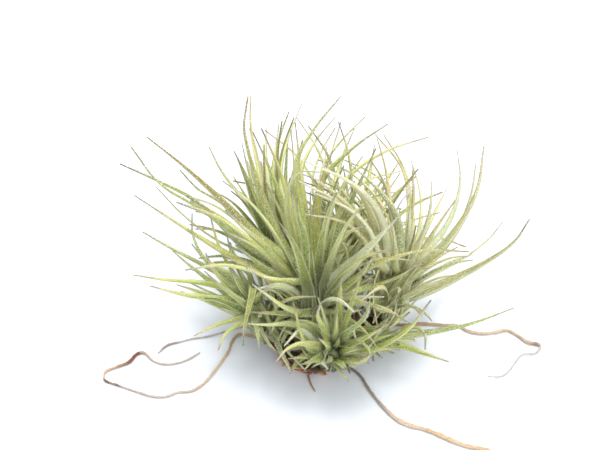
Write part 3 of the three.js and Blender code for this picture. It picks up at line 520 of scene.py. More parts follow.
# A branch of the base: its radius as a share of its bulb's, where it starts and how it bends up to the bulb
BRANCH_SHARE = 0.46
BRANCH_STEPS = 6
BRANCH_FROM = {"share": 0.4, "height": 3}
BRANCH_BEND = 4.5
BRANCH_END = 1.2
BRANCH_ROOM = 0.2


def branch_line(rosette):
    seat = rosette["at"] - rosette["axis"] * rosette["height"] / 2
    start = rosette["at"] * BRANCH_FROM["share"]
    start[2] = BRANCH_FROM["height"]
    backs = [BRANCH_BEND, SEAT_GAP + BRANCH_END, SEAT_GAP]
    return evenly([start] + [seat - rosette["axis"] * back for back in backs], BRANCH_STEPS)


# Roots: traced on the surface that they lie on, from the base outwards
ROOTS = {
    "root_left": {
        "thick": 1.1,
        "thin": 0.8,
        "from": (-11.6, 1.5),
        "trace": [
            (239, 334), (229, 350), (219, 365), (207, 380), (194, 390), (178, 392), (162, 397), (148, 395),
            (133, 390), (118, 385), (105, 380), (102, 376), (109, 369), (120, 366), (128, 363), (136, 355),
            (142, 350), (146, 354), (154, 361), (166, 364), (184, 361), (200, 352),
        ],
    },
    "root_left_thin": {
        "thick": 0.75,
        "thin": 0.65,
        "from": (-9.95, 5.95),
        "trace": [
            (250, 326), (237, 328), (220, 333), (204, 337), (190, 339), (176, 343), (166, 346), (158, 353),
        ],
    },
    "root_right": {
        "thick": 1.5,
        "thin": 0.8,
        "from": (12.3, 3.4),
        "trace": [
            (378, 322), (396, 324), (410, 325), (424, 323), (440, 325), (456, 325), (466, 330), (480, 333),
            (496, 332), (510, 330), (520, 337), (530, 343), (540, 345), (538, 351), (530, 354), (522, 354),
            (515, 362), (508, 371), (498, 377), (488, 376),
        ],
    },
    "root_front": {
        "thick": 1.5,
        "thin": 1,
        "from": (8, -9.4),
        "trace": [
            (356, 370), (364, 381), (373, 394), (382, 405), (392, 415), (404, 423), (418, 427), (431, 431),
            (445, 437), (459, 443), (473, 447), (490, 450),
        ],
    },
    "root_small": {
        "thick": 0.7,
        "thin": 0.65,
        "from": (-1.5, -12.5),
        "trace": [(309, 381), (312, 385), (315, 391)],
    },
}


def on_surface(pixel, rise):
    """The point of the surface, raised by a root's radius, that is seen at a pixel."""
    eye = VIEW["target"] - AHEAD * VIEW["distance"]
    sight = seen_at(pixel, 0) - eye
    return eye + sight * (rise - eye[2]) / sight[2]


ROOT_STEP = 4
ROOT_ROOM = 0.3


def root_line(root):
    rise = root["thick"] / 2
    through = [np.array([*root["from"], rise])] + [on_surface(pixel, rise) for pixel in root["trace"]]
    return evenly(through, math.floor(steps_of(through).sum() / ROOT_STEP + 0.5))


# A thin curly root at the back, which stands free of the surface
CURLY = {
    "start": [(8.6, 9.4, 3), (14, 16, 6), (20, 30, 12)],
    "thick": 0.8,
    "depth": 20,
    "steps": 22,
    "trace": [
        (397, 210), (400, 202), (410, 192), (417, 185), (404, 190), (390, 193), (378, 190), (368, 193),
    ],
}

# Old leaf bases: short pointed scales that stand out of the dome on a spiral
SCALES = {
    "count": 20,
    "long": 10,
    "wide": 5,
    "sunk": 1.2,
    "low": 1.6,
    "high": 7.5,
    "rise_from": 0.25,
    "rise_by": 0.5,
    "bends": [(0.5, 0.5), (0.32, 0.75)],
}


def dome_radius(z):
    return DOME["width"] / 2 * np.interp(z / DOME["height"], DOME_OUTLINE[1:, 1], DOME_OUTLINE[1:, 0])


def dome_way(angle):
    """Outwards at an angle, stretched as the dome is."""
    return np.array([math.cos(angle), math.sin(angle) * DOME["depth"] / DOME["width"], 0])


def scale_ways(index):
    """Middle lines for an old leaf base, each turned a little further."""
    share = (index + 0.5) / SCALES["count"]
    z = SCALES["low"] + (SCALES["high"] - SCALES["low"]) * share
    for turn in TURNS:
        out = dome_way(index * GOLDEN_ANGLE + turn)
        root = out * (dome_radius(z) - SCALES["sunk"]) + UP * z
        rise = SCALES["rise_from"] + SCALES["rise_by"] * share
        points = [root]
        for run, climb in SCALES["bends"]:
            points.append(points[-1] + out * SCALES["long"] * run + UP * SCALES["long"] * climb * rise)
        yield evenly(points)


# What is in place before the leaves grow: balls along each bulb's axis, rings in the dome, branches, roots
BULB_ROOM = [(-0.35, 0.85), (0, 1), (0.3, 0.8)]
for name, rosette in ROSETTES.items():
    middles = [rosette["at"] + rosette["axis"] * share * rosette["height"] for share, _ in BULB_ROOM]
    taken.take(name, middles, [share * rosette["radius"] for _, share in BULB_ROOM], True)

DOME_ROOM = [
    {"share": 0, "rise": 5, "reach": 5},
    {"share": 0.45, "rise": 5, "reach": 5},
    {"share": 0.75, "rise": 3, "reach": 3.5},
]
DOME_ROOM_SIDES = 12
for place in DOME_ROOM:
    angles = round_angles(DOME_ROOM_SIDES)
    across = np.cos(angles) * place["share"] * DOME["width"] / 2
    back = np.sin(angles) * place["share"] * DOME["depth"] / 2
    ring = np.column_stack([across, back, np.full(DOME_ROOM_SIDES, place["rise"])])
    taken.take("woody_base", ring, [place["reach"]] * DOME_ROOM_SIDES, True)
for rosette in ROSETTES.values():
    line = branch_line(rosette)[:-1]
    taken.take("woody_base", line, [rosette["radius"] * BRANCH_SHARE + BRANCH_ROOM] * len(line), True)

wires = {name: root_line(root) for name, root in ROOTS.items()}
for name, line in wires.items():
    taken.take(name, line, [ROOTS[name]["thick"] / 2 + ROOT_ROOM] * len(line), True)
curly_through = [np.array(point, float) for point in CURLY["start"]]
curly_through += [seen_at(pixel, CURLY["depth"]) for pixel in CURLY["trace"]]
wires["root_back"] = evenly(curly_through, CURLY["steps"])
taken.take("root_back", wires["root_back"], [CURLY["thick"] / 2 + ROOT_ROOM] * (CURLY["steps"] + 1), True)

# The leaves' middle lines, placed in the part's order. The key of a leaf is the pixel of its tip, or its
# rosette and number on the spiral, and low is how low it sits on the spiral.
leaves = {name: [] for name in ROSETTES}


def grow_seen(rows):
    for name, long, wide, lean, *trace in rows:
        points = grow(name, seen_leaf_ways(name, long, lean, trace), wide)
        if points is not None:
            leaves[name].append({"points": points, "wide": wide, "key": trace[-1], "low": 0.0})


def grow_spiral(name, rosette, turn=0, small=False):
    """Fills a rosette's spiral, from a part of a leaf's turn further on. Small leaves have no keys."""
    draw = draws(rosette["seed"])
    for index in range(rosette["fill"]):
        share = (index + 0.5) / rosette["fill"]
        points = grow(name, fill_leaf_ways(rosette, index + turn, share, draw), rosette["wide"])
        if points is not None:
            key = None if small else (name, index)
            leaves[name].append({"points": points, "wide": rosette["wide"], "key": key, "low": share})


grow_seen(SEEN)
base_ways = [grow("woody_base", scale_ways(index), SCALES["wide"]) for index in range(SCALES["count"])]
old_bases = [points for points in base_ways if points is not None]
for name, rosette in ROSETTES.items():
    grow_spiral(name, rosette)

# Small leaves of the dressed plant alone, which close the gaps: some that are seen from the front, and the
# rest on each rosette's spiral
SMALL_SEEN = [
    ("main", 40, 3.4, "near", (305, 308), (290, 298), (272, 285), (246, 262)),
    ("main", 34, 3.4, "near", (298, 312), (283, 306), (270, 297), (252, 284)),
    ("main", 30, 2.8, "near", (318, 308), (330, 312), (344, 312), (362, 310)),
    ("right", 30, 4.4, "near", (392, 296), (384, 306), (378, 314), (373, 323)),
    ("right", 34, 2.0, "near", (385, 262), (375, 280), (373, 300), (377, 325)),
    ("front", 26, 3.2, "near", (345, 335), (356, 326), (366, 316), (370, 298)),
    ("front", 24, 3.0, "near", (338, 334), (352, 330), (366, 328), (384, 326)),
    ("front", 24, 3.0, "near", (328, 338), (322, 326), (318, 316), (320, 304)),
    ("left", 30, 3.0, "near", (262, 308), (272, 302), (282, 304), (292, 312)),
    ("left", 26, 2.8, "near", (258, 296), (266, 290), (276, 292), (286, 302)),
    ("right", 40, 3.4, "far", (390, 286), (380, 272), (370, 256), (360, 236)),
    ("right", 36, 3.2, "far", (388, 276), (378, 268), (366, 270), (350, 262)),
    ("right", 30, 4.0, "near", (392, 292), (383, 283), (372, 276), (360, 272)),
    ("main", 30, 3.6, "near", (334, 294), (348, 288), (362, 281), (376, 274)),
    ("main", 26, 1.6, "near", (336, 268), (333, 252), (340, 242), (349, 247)),
    ("main", 24, 1.6, "near", (330, 266), (337, 254), (346, 250), (344, 238)),
    ("main", 28, 1.8, "near", (340, 272), (347, 258), (343, 244), (334, 236)),
    ("right", 50, 2.2, "near", (390, 264), (372, 222), (344, 192), (302, 174)),
    ("right", 46, 2.0, "near", (388, 268), (366, 232), (338, 206), (300, 190)),
    ("right", 44, 2.2, "near", (386, 270), (362, 240), (334, 218), (298, 206)),
    ("right", 52, 2.0, "far", (394, 262), (386, 212), (352, 174), (318, 160)),
    ("back_right", 40, 2.2, "near", (352, 240), (348, 214), (330, 192), (304, 182)),
    ("main", 30, 1.8, "near", (330, 262), (338, 244), (350, 232), (366, 226)),
    ("left", 30, 3.2, "far", (256, 296), (264, 292), (272, 296), (284, 290)),
    ("back_left", 40, 3.4, "near", (262, 262), (264, 274), (272, 286), (280, 292)),
]
SMALL = {"fill": 16, "wide": 2.5}
SMALL_LONG = 0.62  # as a share of the rosette's long leaves
SMALL_SEED = 500
SMALL_TURN = 0.5
grow_seen(SMALL_SEEN)
for name, rosette in ROSETTES.items():
    smaller = dict(rosette, **SMALL)
    smaller["long"] *= SMALL_LONG
    smaller["seed"] += SMALL_SEED
    grow_spiral(name, smaller, SMALL_TURN, small=True)

# What each vertex tells the materials: millimetres along and across its leaf, the share of the leaf's length,
# how near the margin it is, 1 on the channelled upper side, how yellow, dry, bronze and silver its leaf is,
# how much painted shade it has where it sits deep in the clump or under other parts, and its leaf's own
# number
FACTS = ("along", "across", "share", "edge", "upper", "yellow", "dry", "bronze", "silver", "deep", "own")
BOX_ROOM = 0.00001  # metres that the pieces keep inside the CAD box


class Piece:
    """Gathers the vertices, faces and facts of one piece of the scene."""

    def __init__(self, name):
        self.name = name
        self.points = []
        self.faces = []
        self.facts = {fact: [] for fact in FACTS}
        self.count = 0

    def add(self, points, faces, **facts):
        """Adds a grid of points. Each fact is a number, or an array that spreads over the grid."""
        grid = points.shape[:-1]
        self.points.append(points.reshape(-1, 3))
        self.faces += [rows + self.count for rows in faces]
        for fact in FACTS:
            self.facts[fact].append(np.broadcast_to(facts.get(fact, 0.0), grid).ravel())
        self.count += math.prod(grid)

    def make(self, slot, material):
        """The piece as an object that stands for the CAD node of its name and stays in the CAD box."""
        low, high = map(np.array, cad_box)
        points = np.clip(np.concatenate(self.points) * MM, low + BOX_ROOM, high - BOX_ROOM)
        corners = np.concatenate([rows.ravel() for rows in self.faces])
        sizes = np.concatenate([np.full(len(rows), rows.shape[1]) for rows in self.faces])
        mesh = bpy.data.meshes.new(self.name)
        mesh.vertices.add(len(points))
        mesh.vertices.foreach_set("co", points.astype(np.float32).ravel())
        mesh.loops.add(len(corners))
        mesh.loops.foreach_set("vertex_index", corners.astype(np.int32))
        mesh.polygons.add(len(sizes))
        mesh.polygons.foreach_set("loop_start", (np.cumsum(sizes) - sizes).astype(np.int32))
        mesh.polygons.foreach_set("use_smooth", np.ones(len(sizes), bool))
        mesh.update(calc_edges=True)
        for fact in FACTS:
            values = np.concatenate(self.facts[fact]).astype(np.float32)
            mesh.attributes.new(fact, "FLOAT", "POINT").data.foreach_set("value", values)
        mesh.materials.append(material)
        piece = bpy.data.objects.new("dressed_" + self.name, mesh)
        scene.collection.objects.link(piece)
        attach(piece, "root")
        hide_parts(self.name)


def smooth_step(value):
    value = np.clip(value, 0, 1)
    return value * value * (3 - 2 * value)


def tube_faces(rings, sides):
    """Quads between closed rings that turn left as seen from their end, and a flat face at each end."""
    ring = np.arange(rings - 1)[:, None] * sides
    side = np.arange(sides)[None]
    turned = (side + 1) % sides
    quads = np.stack([ring + side, ring + turned, ring + sides + turned, ring + sides + side], -1)
    start = np.arange(sides)[::-1][None]
    end = (rings - 1) * sides + np.arange(sides)[None]
    return [quads.reshape(-1, 4), start, end]


def tangents_of(points):
    ends = np.vstack([points[:1], points, points[-1:]])
    ways = ends[2:] - ends[:-2]
    return ways / np.linalg.norm(ways, axis=1, keepdims=True)


def sides_of(tangents, side):
    """A side vector for each point, carried along the line without twist."""
    sides = []
    for tangent in tangents:
        side = unit(side - tangent * (side @ tangent))
        sides.append(side)
    return np.array(sides)


# A leaf's cross section, as shares of its half width, and how its blade thins towards tip and margins
UNDER_ACROSS = np.linspace(1, -1, 7)
UPPER_ACROSS = np.linspace(-0.76, 0.76, 5)
ACROSS = np.concatenate([UNDER_ACROSS, UPPER_ACROSS])
ON_UPPER = np.repeat([0.0, 1.0], [len(UNDER_ACROSS), len(UPPER_ACROSS)])
ARCH_TOP = 2 / 3
BLADE = {
    "rings": 52,
    "from": 3,  # the first of the middle line's samples that the blade follows
    "every": 3,
    "thick": 0.42,  # as a share of the keel's depth less "thinner"
    "thinner": 0.25,
    "margin": 0.7,  # how much of the thickness the margins lack
    "fine": 0.4,  # how much slimmer than the part's the tip is
    "fine_power": 5,
    "twist": 1.1,  # radians from the tip most turned one way to the one most turned the other way
}

# The sheath of a leaf, which clasps the bulb and runs on into the blade
SHEATH = {
    "long": 7.5,
    "width": 1.1,  # as a share of the bulb's radius
    "flare": 2.0,  # the most that it is wider than its blade
    "lift": 0.3,
    "depth": 0.95,
    "lowest": -0.46,  # as a share of the bulb's height
    "places": np.array([0, 0.35, 0.7]),
    # painted shade on the sheath, more on leaves low on the spiral
    "dark_from": 0.35,
    "dark_by": 0.5,
}
# where the painted shade on a blade ends
PAINTED_SHADE_END = 0.5  # as a share of the blade's length


def bulb_radius(rosette, z):
    return rosette["radius"] * np.interp(z / rosette["height"], BULB_OUTLINE[1:, 1], BULB_OUTLINE[1:, 0])


def sheath_line(rosette, root):
    """Points on the bulb's surface that lead up to a leaf's root, and the way out from the bulb's axis."""
    axis = rosette["axis"]
    way = root - rosette["at"]
    lift = way @ axis
    out = unit(way - axis * lift)
    foot = max(lift - SHEATH["long"], SHEATH["lowest"] * rosette["height"])
    heights = foot + (lift - foot) * SHEATH["places"]
    points = [rosette["at"] + axis * z + out * (bulb_radius(rosette, z) + SHEATH["lift"]) for z in heights]
    return points, out


def section(centre, side, outer, half, depth, thick):
    """A leaf's cross sections: the keeled underside, then back across the channelled upper side."""
    under = (ARCH_TOP - UNDER_ACROSS**2) * depth[:, None]
    upper = (ARCH_TOP - UPPER_ACROSS**2) * depth[:, None]
    upper = upper - thick[:, None] * (1 - BLADE["margin"] * UPPER_ACROSS**2)
    across = ACROSS * half[:, None]
    rise = np.concatenate([under, upper], axis=1)
    points = centre[:, None] + side[:, None] * across[:, :, None] + outer[:, None] * rise[:, :, None]
    return points, across


def leaf_painted_shade(rise, blade, leaf, look):
    """The painted shade along a leaf: on its sheath, and on the lower part of its blade."""
    sheath = (1 - rise) * (SHEATH["dark_from"] + SHEATH["dark_by"] * leaf["low"]) * look["sheath_shade"]
    return sheath + rise * look["shade"] * (1 - smooth_step(blade / PAINTED_SHADE_END))


def add_leaf(piece, rosette, leaf, look, draw):
    points, wide = leaf["points"], leaf["wide"]
    foot, out = sheath_line(rosette, points[0])
    line = evenly(np.vstack([foot, points[BLADE["from"]::BLADE["every"]], points[-1:]]), BLADE["rings"])
    runs = runs_of(line)
    start = runs[np.argmin(np.linalg.norm(line - points[BLADE["from"]], axis=1))]
    blade = np.clip((runs - start) / (runs[-1] - start), 0, 1)
    share = blade + (1 - blade) * BLADE["from"] / SAMPLES
    rise = smooth_step(runs / start)
    tangents = tangents_of(line)
    level = sides_of(tangents, np.cross(rosette["axis"], out))
    twist = (next(draw) - 0.5) * BLADE["twist"] * blade**2
    sides = level * np.cos(twist)[:, None] + np.cross(tangents, level) * np.sin(twist)[:, None]
    outers = np.cross(tangents, sides)
    sheath = min(SHEATH["width"] * rosette["radius"], SHEATH["flare"] * wide)
    fine = 1 - BLADE["fine"] * blade ** BLADE["fine_power"]
    half = (leaf_width(share, wide) * rise + sheath * (1 - rise)) * fine * look["size"] / 2
    depth = (leaf_keel(share, wide) * fine * rise + SHEATH["depth"] * (1 - rise)) * look["curl"]
    thick = BLADE["thick"] * (leaf_keel(share, wide) - BLADE["thinner"]) * fine
    shape, across = section(line, sides, outers, half, depth, thick)
    own = next(draw)
    piece.add(
        shape,
        tube_faces(*across.shape),
        along=(runs - start)[:, None],
        across=across,
        share=blade[:, None],
        edge=np.abs(ACROSS),
        upper=ON_UPPER,
        yellow=look["yellow"],
        dry=look["dry"] + (1 - rise)[:, None] * look["dry_foot"],
        bronze=look["bronze"],
        silver=look["silver"],
        deep=leaf_painted_shade(rise, blade, leaf, look)[:, None],
        own=own,
    )
    strip = (line, sides, outers, tangents, half[:, None], depth[:, None])
    add_fringe(piece, strip, runs, start, look, own, draw)


# The fringe of pale scales along both margins of a leaf: thin pyramids, each with its tip last
FRINGE = {
    "end": 0.86,  # where it ends, as a share of the blade's length
    "last": 0.98,  # where its last scale may sit, as a share of the leaf's length
    "step": 0.55,
    "long": 0.42,
    "least": 0.5,
    "narrow": 0.45,  # the length that is left where the blade ends in a point
    "wide": 0.16,
    "high": 0.6,  # as a share of its width
    "sunk": 0.03,
    "forward": 0.7,
    "droop": 0.6,
    "edge": 1.5,  # more than 1, so that the scales are pale
    "bronze": 0.5,
}
FRINGE_FACES = np.array([[0, 2, 1], [0, 1, 3], [1, 2, 3], [2, 0, 3]])


def between(places, runs, values):
    """The values of a line's points, read at places along it."""
    return np.stack([np.interp(places, runs, column) for column in values.T], -1)


def add_fringe(piece, strip, runs, start, look, own, draw):
    step = FRINGE["step"]
    count = int((runs[-1] - start) * FRINGE["end"] / step)
    at = start + (np.arange(count) + np.array([next(draw) for _ in range(count)])) * step
    for hand in (1, -1):
        chance = np.array([[next(draw) for _ in range(3)] for _ in range(count)])
        shift, longer, lift = (chance[:, k : k + 1] for k in range(3))
        places = np.minimum(at + shift[:, 0] * step, runs[-1] * FRINGE["last"])
        centre, side, outer, way, half, depth = (between(places, runs, values) for values in strip)
        side = side * hand
        foot = centre + side * (half - FRINGE["sunk"]) - outer * (depth / 3)
        narrowed = FRINGE["narrow"] + (1 - FRINGE["narrow"]) * np.minimum(half, 1)
        long = FRINGE["long"] * (FRINGE["least"] + longer) * narrowed
        lifted = outer * ((lift - FRINGE["droop"]) * long)
        tip = foot + side * long + way * (long * FRINGE["forward"]) + lifted
        ahead = way * FRINGE["wide"] / 2
        top = foot + outer * FRINGE["wide"] * FRINGE["high"]
        corners = np.stack([foot + ahead, top, foot - ahead, tip], 1)
        a, b, c, d = (corners[:, k] for k in range(4))
        inward = np.einsum("ij,ij->i", np.cross(b - a, c - a), d - a) < 0
        faces = np.arange(count)[:, None, None] * 4 + FRINGE_FACES
        faces[inward] = faces[inward][:, :, ::-1]
        piece.add(
            corners,
            list(faces.swapaxes(0, 1)),
            along=(places - start)[:, None],
            share=np.clip((places - start) / (runs[-1] - start), 0, 1)[:, None],
            edge=FRINGE["edge"],
            yellow=look["yellow"],
            dry=look["dry"],
            bronze=look["bronze"] * FRINGE["bronze"],
            silver=look["silver"],
            own=own,
        )


# Leaves whose colour stands out, by their keys
TINTS = {
    ("main", 15): {"silver": 1.0, "size": 1.1},
    ("main", 13): {"silver": 0.6, "bronze": 0.35},
    (147, 137): {"bronze": 1.0, "yellow": 0.3},
    (120, 164): {"bronze": 0.25},
    (134, 195): {"bronze": 0.2},
    (248, 96): {"bronze": 0.5},
    (251, 95): {"bronze": 0.9},
    (237, 157): {"bronze": 0.75},
    (264, 144): {"bronze": 0.85},
    (289, 112): {"bronze": 0.85},
    (302, 103): {"silver": 0.5},
    (375, 134): {"bronze": 0.5, "silver": 0.5},
    (384, 135): {"bronze": 0.55, "silver": 0.4},
    (350, 164): {"bronze": 0.85, "yellow": 0.7},
    (371, 160): {"bronze": 0.9},
    (411, 160): {"yellow": 0.9},
    (260, 288): {"silver": 1.0, "size": 1.3},
    (384, 297): {"silver": 1.0, "size": 1.25},
    (397, 218): {"silver": 0.9, "size": 1.12},
    (284, 346): {"silver": 1.0, "size": 1.2},
    (292, 373): {"silver": 0.8, "yellow": 0.8},
    (305, 370): {"silver": 0.9},
    (328, 369): {"silver": 1.0, "size": 1.25},
    (373, 323): {"dry": 0.75, "silver": 0.5},
    (349, 247): {"bronze": 0.5, "yellow": 1.0},
    (344, 238): {"bronze": 1.0, "dry": 0.5},
    (243, 346): {"yellow": 1.0, "silver": 0.4},
    (250, 312): {"yellow": 0.8},
    (333, 150): {"yellow": 0.6, "bronze": 0.4},
    (302, 174): {"yellow": 0.9, "silver": 0.3},
    (300, 190): {"yellow": 0.9, "silver": 0.3},
    (298, 206): {"yellow": 0.8, "bronze": 0.5},
    (318, 160): {"yellow": 0.8, "bronze": 0.4},
    (304, 182): {"yellow": 0.8, "silver": 0.5},
    (340, 158): {"yellow": 0.7, "bronze": 0.7},
}
YELLOW_TIPS = [
    (334, 236), (267, 314), (275, 351), (298, 181), (312, 192), (305, 214), (300, 159), (322, 166),
    (366, 226),
]
for tip in YELLOW_TIPS:
    TINTS[tip] = {"yellow": 1.0}

# What whole rosettes have more of
ROSETTE_TINTS = {
    "main": {"yellow": 0.32},
    "back_right": {"yellow": 0.15, "bronze": 0.2},
    "back_left": {"bronze": 0.15},
    "right": {"yellow": 0.3, "silver": 0.28, "dry": 0.34, "dry_foot": 0.6, "bronze": 0.36},
    "left": {"yellow": 0.15},
    "front": {"silver": -0.25},
}

# Painted shade: how dark the lower part of a blade is painted, of seen leaves and on the spiral, and how dark
# the sheaths and the bulb are painted
SEEN_PAINTED_SHADE = {"front": 0.3}
SPIRAL_PAINTED_SHADE = {"right": 0.0, "front": 0.75}
USUAL_SPIRAL_PAINTED_SHADE = 0.36
SMALL_PAINTED_SHADE = 0.12
SHEATH_PAINTED_SHADE = {"right": 0.35}



def chance(pair, draw):
    """The first of a pair of numbers, and by chance as much as the second more."""
    return pair[0] + pair[1] * next(draw)


# What chance gives a leaf's look, in the order of the draws
LOOK_DRAWS = {"curl": (0.8, 0.35), "yellow": (0.15, 0.6), "bronze": (0.0, 0.15), "silver": (0.25, 0.35)}
LOW_DRY_FOOT = 0.5
SPIRAL_SILVER = -0.15


def leaf_look(name, leaf, draw):
    look = {fact: chance(pair, draw) for fact, pair in LOOK_DRAWS.items()}
    look.update(size=1.0, dry=0.0, dry_foot=LOW_DRY_FOOT * leaf["low"])
    # painted shade on the lower part of the blade and on the sheath
    look["shade"] = SEEN_PAINTED_SHADE.get(name, 0.0)
    look["sheath_shade"] = SHEATH_PAINTED_SHADE.get(name, 1.0)
    if leaf["low"]:
        look["silver"] += SPIRAL_SILVER
        look["shade"] = SPIRAL_PAINTED_SHADE.get(name, USUAL_SPIRAL_PAINTED_SHADE)
        look["shade"] += SMALL_PAINTED_SHADE if leaf["key"] is None else 0.0
    for fact, more in ROSETTE_TINTS.get(name, {}).items():
        look[fact] += more
    look.update(TINTS.get(leaf["key"], {}))
    return look


# The bulb under the sheaths: dry towards its foot, and darkened with painted shade up to a share of its
# height
BULB = {"rings": 20, "sides": 28, "girth": 0.97, "dry": 0.7, "dark": 0.9, "dark_to": 0.55, "fade": 0.3}


def add_bulb(piece, rosette, shade):
    outline = outline_rings(BULB_OUTLINE, BULB["rings"])
    angles = round_angles(BULB["sides"])
    axis = rosette["axis"]
    side, front = square_to(axis)
    out = side * np.cos(angles)[:, None] + front * np.sin(angles)[:, None]
    radius = outline[:, 0] * rosette["radius"] * BULB["girth"]
    heights = outline[:, 1] * rosette["height"]
    points = rosette["at"] + axis * heights[:, None, None] + out * radius[:, None, None]
    lift = (outline[:, 1] + 0.5)[:, None]
    piece.add(
        points,
        tube_faces(len(heights), BULB["sides"]),
        along=(lift - 1) * rosette["height"],
        across=angles * rosette["radius"],
        dry=BULB["dry"] * (1 - lift),
        # painted shade under the sheaths
        deep=shade * BULB["dark"] * (1 - smooth_step((lift - BULB["dark_to"]) / BULB["fade"])),
        yellow=0.4,
    )


# Uneven surfaces: waves that grow shorter by the octave, each stretched and shifted by chance
OCTAVES = 4
STRETCH_FROM = 0.8
STRETCH_BY = 0.4
SHIFT_BY = 7
UNEVEN_LEVEL = 2.2


def uneven(places, seed, wave):
    """A smooth uneven row of numbers between about -1 and 1 for places in millimetres."""
    draw = draws(seed)
    total = np.zeros(len(places))
    for octave in range(OCTAVES):
        turns = places * (octave + 1) * 2 * math.pi / wave * (STRETCH_FROM + STRETCH_BY * next(draw))
        total += np.sin(turns + SHIFT_BY * next(draw))
    return total / UNEVEN_LEVEL


# Wiry pieces: rings of an uneven radius along a line
WIRE = {"sides": 10, "step": 0.7, "rough": 0.13, "wave": 9}

# How each root changes, as pairs of a share of its length and a value: its girth as a share of the part's,
# how far it is pressed flat, where it is grey and red-brown, and where it is darkened with painted shade
ROOT_LOOKS = {
    "root_left": {
        "girth": [
            (0, 0.8), (0.4, 0.75), (0.6, 0.7), (0.65, 0.85), (0.72, 1), (0.77, 1.25), (0.79, 1.25),
            (0.81, 0.9), (0.84, 0.7), (0.97, 0.65), (1, 0.4),
        ],
        "silver": [
            (0, 0.05), (0.35, 0.15), (0.42, 0.65), (0.58, 0.8), (0.66, 0.3), (0.75, 0), (0.82, 0.5),
            (1, 0.75),
        ],
        "bronze": [(0.69, 0), (0.72, 0.4), (0.75, 0.85), (0.79, 0.95), (0.8, 0.3), (0.82, 0)],
        "deep": [(0.58, 0), (0.6, 0.7), (0.615, 0.3), (0.625, 0.75), (0.64, 0.7), (0.645, 0)],
    },
    "root_left_thin": {
        "girth": [(0, 0.8), (0.8, 0.75), (0.84, 1.1), (0.95, 1.1), (1, 0.6)],
        "silver": [(0, 0.9), (1, 0.9)],
        "bronze": [(0.8, 0), (0.84, 0.45), (0.95, 0.45), (0.98, 0)],
    },
    "root_right": {
        "girth": [(0, 0.8), (0.35, 0.78), (0.65, 0.9), (0.71, 1.25), (0.74, 0.7), (0.8, 0.55), (1, 0.5)],
        "silver": [(0, 0), (0.6, 0.2), (0.7, 0.4), (0.75, 0.95), (1, 1)],
        "bronze": [(0, 0.3), (0.34, 0.4), (0.42, 0.05), (0.69, 0), (0.71, 0.6), (0.73, 0.3), (0.75, 0)],
    },
    "root_front": {
        "girth": [(0, 0.55), (0.3, 0.62), (0.45, 0.85), (0.53, 1), (0.62, 0.85), (0.72, 1.05), (1, 1)],
        "pressed": [(0, 1), (0.42, 1), (0.53, 0.5), (0.62, 0.8), (0.72, 0.6), (1, 0.6)],
        "silver": [(0, 0.7), (0.4, 0.55), (0.52, 0.15), (1, 0)],
        "deep": [(0, 0.65), (0.2, 0.45), (0.36, 0.15), (0.46, 0)],
    },
    "root_small": {"girth": [(0, 0.8), (1, 0.7)], "bronze": [(0, 0.6), (1, 0.3)]},
}


def along_share(pairs, share):
    return np.interp(share, [at for at, _ in pairs], [value for _, value in pairs])


def add_wire(piece, through, thick, thin, seed, look=None, **facts):
    """A wire on a line of points, from thick to thin, changed along it as its look says."""
    length = steps_of(through).sum()
    line = evenly(through, int(length / WIRE["step"]))
    runs = np.linspace(0, length, len(line))
    share = runs / length
    tangents = tangents_of(line)
    sides = sides_of(tangents, np.array([-tangents[0][1], tangents[0][0], 0.0]))
    tops = np.cross(tangents, sides)
    angles = round_angles(WIRE["sides"])
    radius = (thick + (thin - thick) * share) / 2
    radii = radius * (1 + WIRE["rough"] * uneven(runs, seed, WIRE["wave"]))
    pressed = np.ones(len(line))
    if look:
        radii = radii * along_share(look["girth"], share)
        pressed = along_share(look.get("pressed", [(0, 1)]), share)
        line[:, 2] -= radius - radii * np.sqrt(pressed)
        for fact in ("silver", "bronze", "deep"):
            facts[fact] = along_share(look.get(fact, [(0, 0)]), share)[:, None]
    across = np.cos(angles) * (radii / np.sqrt(pressed))[:, None]
    rise = np.sin(angles) * (radii * np.sqrt(pressed))[:, None]
    points = line[:, None] + sides[:, None] * across[:, :, None] + tops[:, None] * rise[:, :, None]
    facts.update(along=runs[:, None], across=angles, share=share[:, None], own=seed / 100)
    piece.add(points, tube_faces(*across.shape), **facts)


# The woody base: an uneven dome, darkened with painted shade, least at its foot
DOME_LOOK = {
    "rings": 22,
    "sides": 56,
    "rough": 0.35,
    "rough_over": 2,  # the height over which the unevenness sets in above the flat underside
    "round": 9,
    "shift": 3.1,
    "seed": 5,
    "wave": 11,
    # painted shade over the whole dome, and more of it above its foot
    "dark": 0.5,
    "darker": 0.47,
    "darker_over": 3,
}


def add_dome(piece):
    outline = outline_rings(DOME_OUTLINE, DOME_LOOK["rings"])
    angles = round_angles(DOME_LOOK["sides"])
    heights = outline[:, 1:2] * DOME["height"]
    rows = []
    for k in range(len(heights)):
        places = angles * DOME_LOOK["round"] + k * DOME_LOOK["shift"]
        rows.append(uneven(places, DOME_LOOK["seed"] + k, DOME_LOOK["wave"]))
    inward = DOME_LOOK["rough"] * (1 - np.array(rows)) * smooth_step(heights / DOME_LOOK["rough_over"])
    radius = outline[:, :1] * DOME["width"] / 2 - inward
    back = radius * np.sin(angles) * DOME["depth"] / DOME["width"]
    piece.add(
        np.stack([radius * np.cos(angles), back, heights + 0 * back], -1),
        tube_faces(*back.shape),
        along=heights,
        across=angles * DOME["width"] / 2,
        deep=DOME_LOOK["dark"] + DOME_LOOK["darker"] * smooth_step(heights / DOME_LOOK["darker_over"]),
        yellow=0.2,
    )


# A thin curled chip of an old leaf base: how it curls up, narrows and thins from its foot to its point
FLAKE = {
    "rings": 7,
    "curl": 0.25,
    "narrowing": 2.2,
    "point": 0.12,
    "arch": 0.28,
    "flatter": 0.6,
    "thick": 0.28,
    "thinner": 0.12,
}


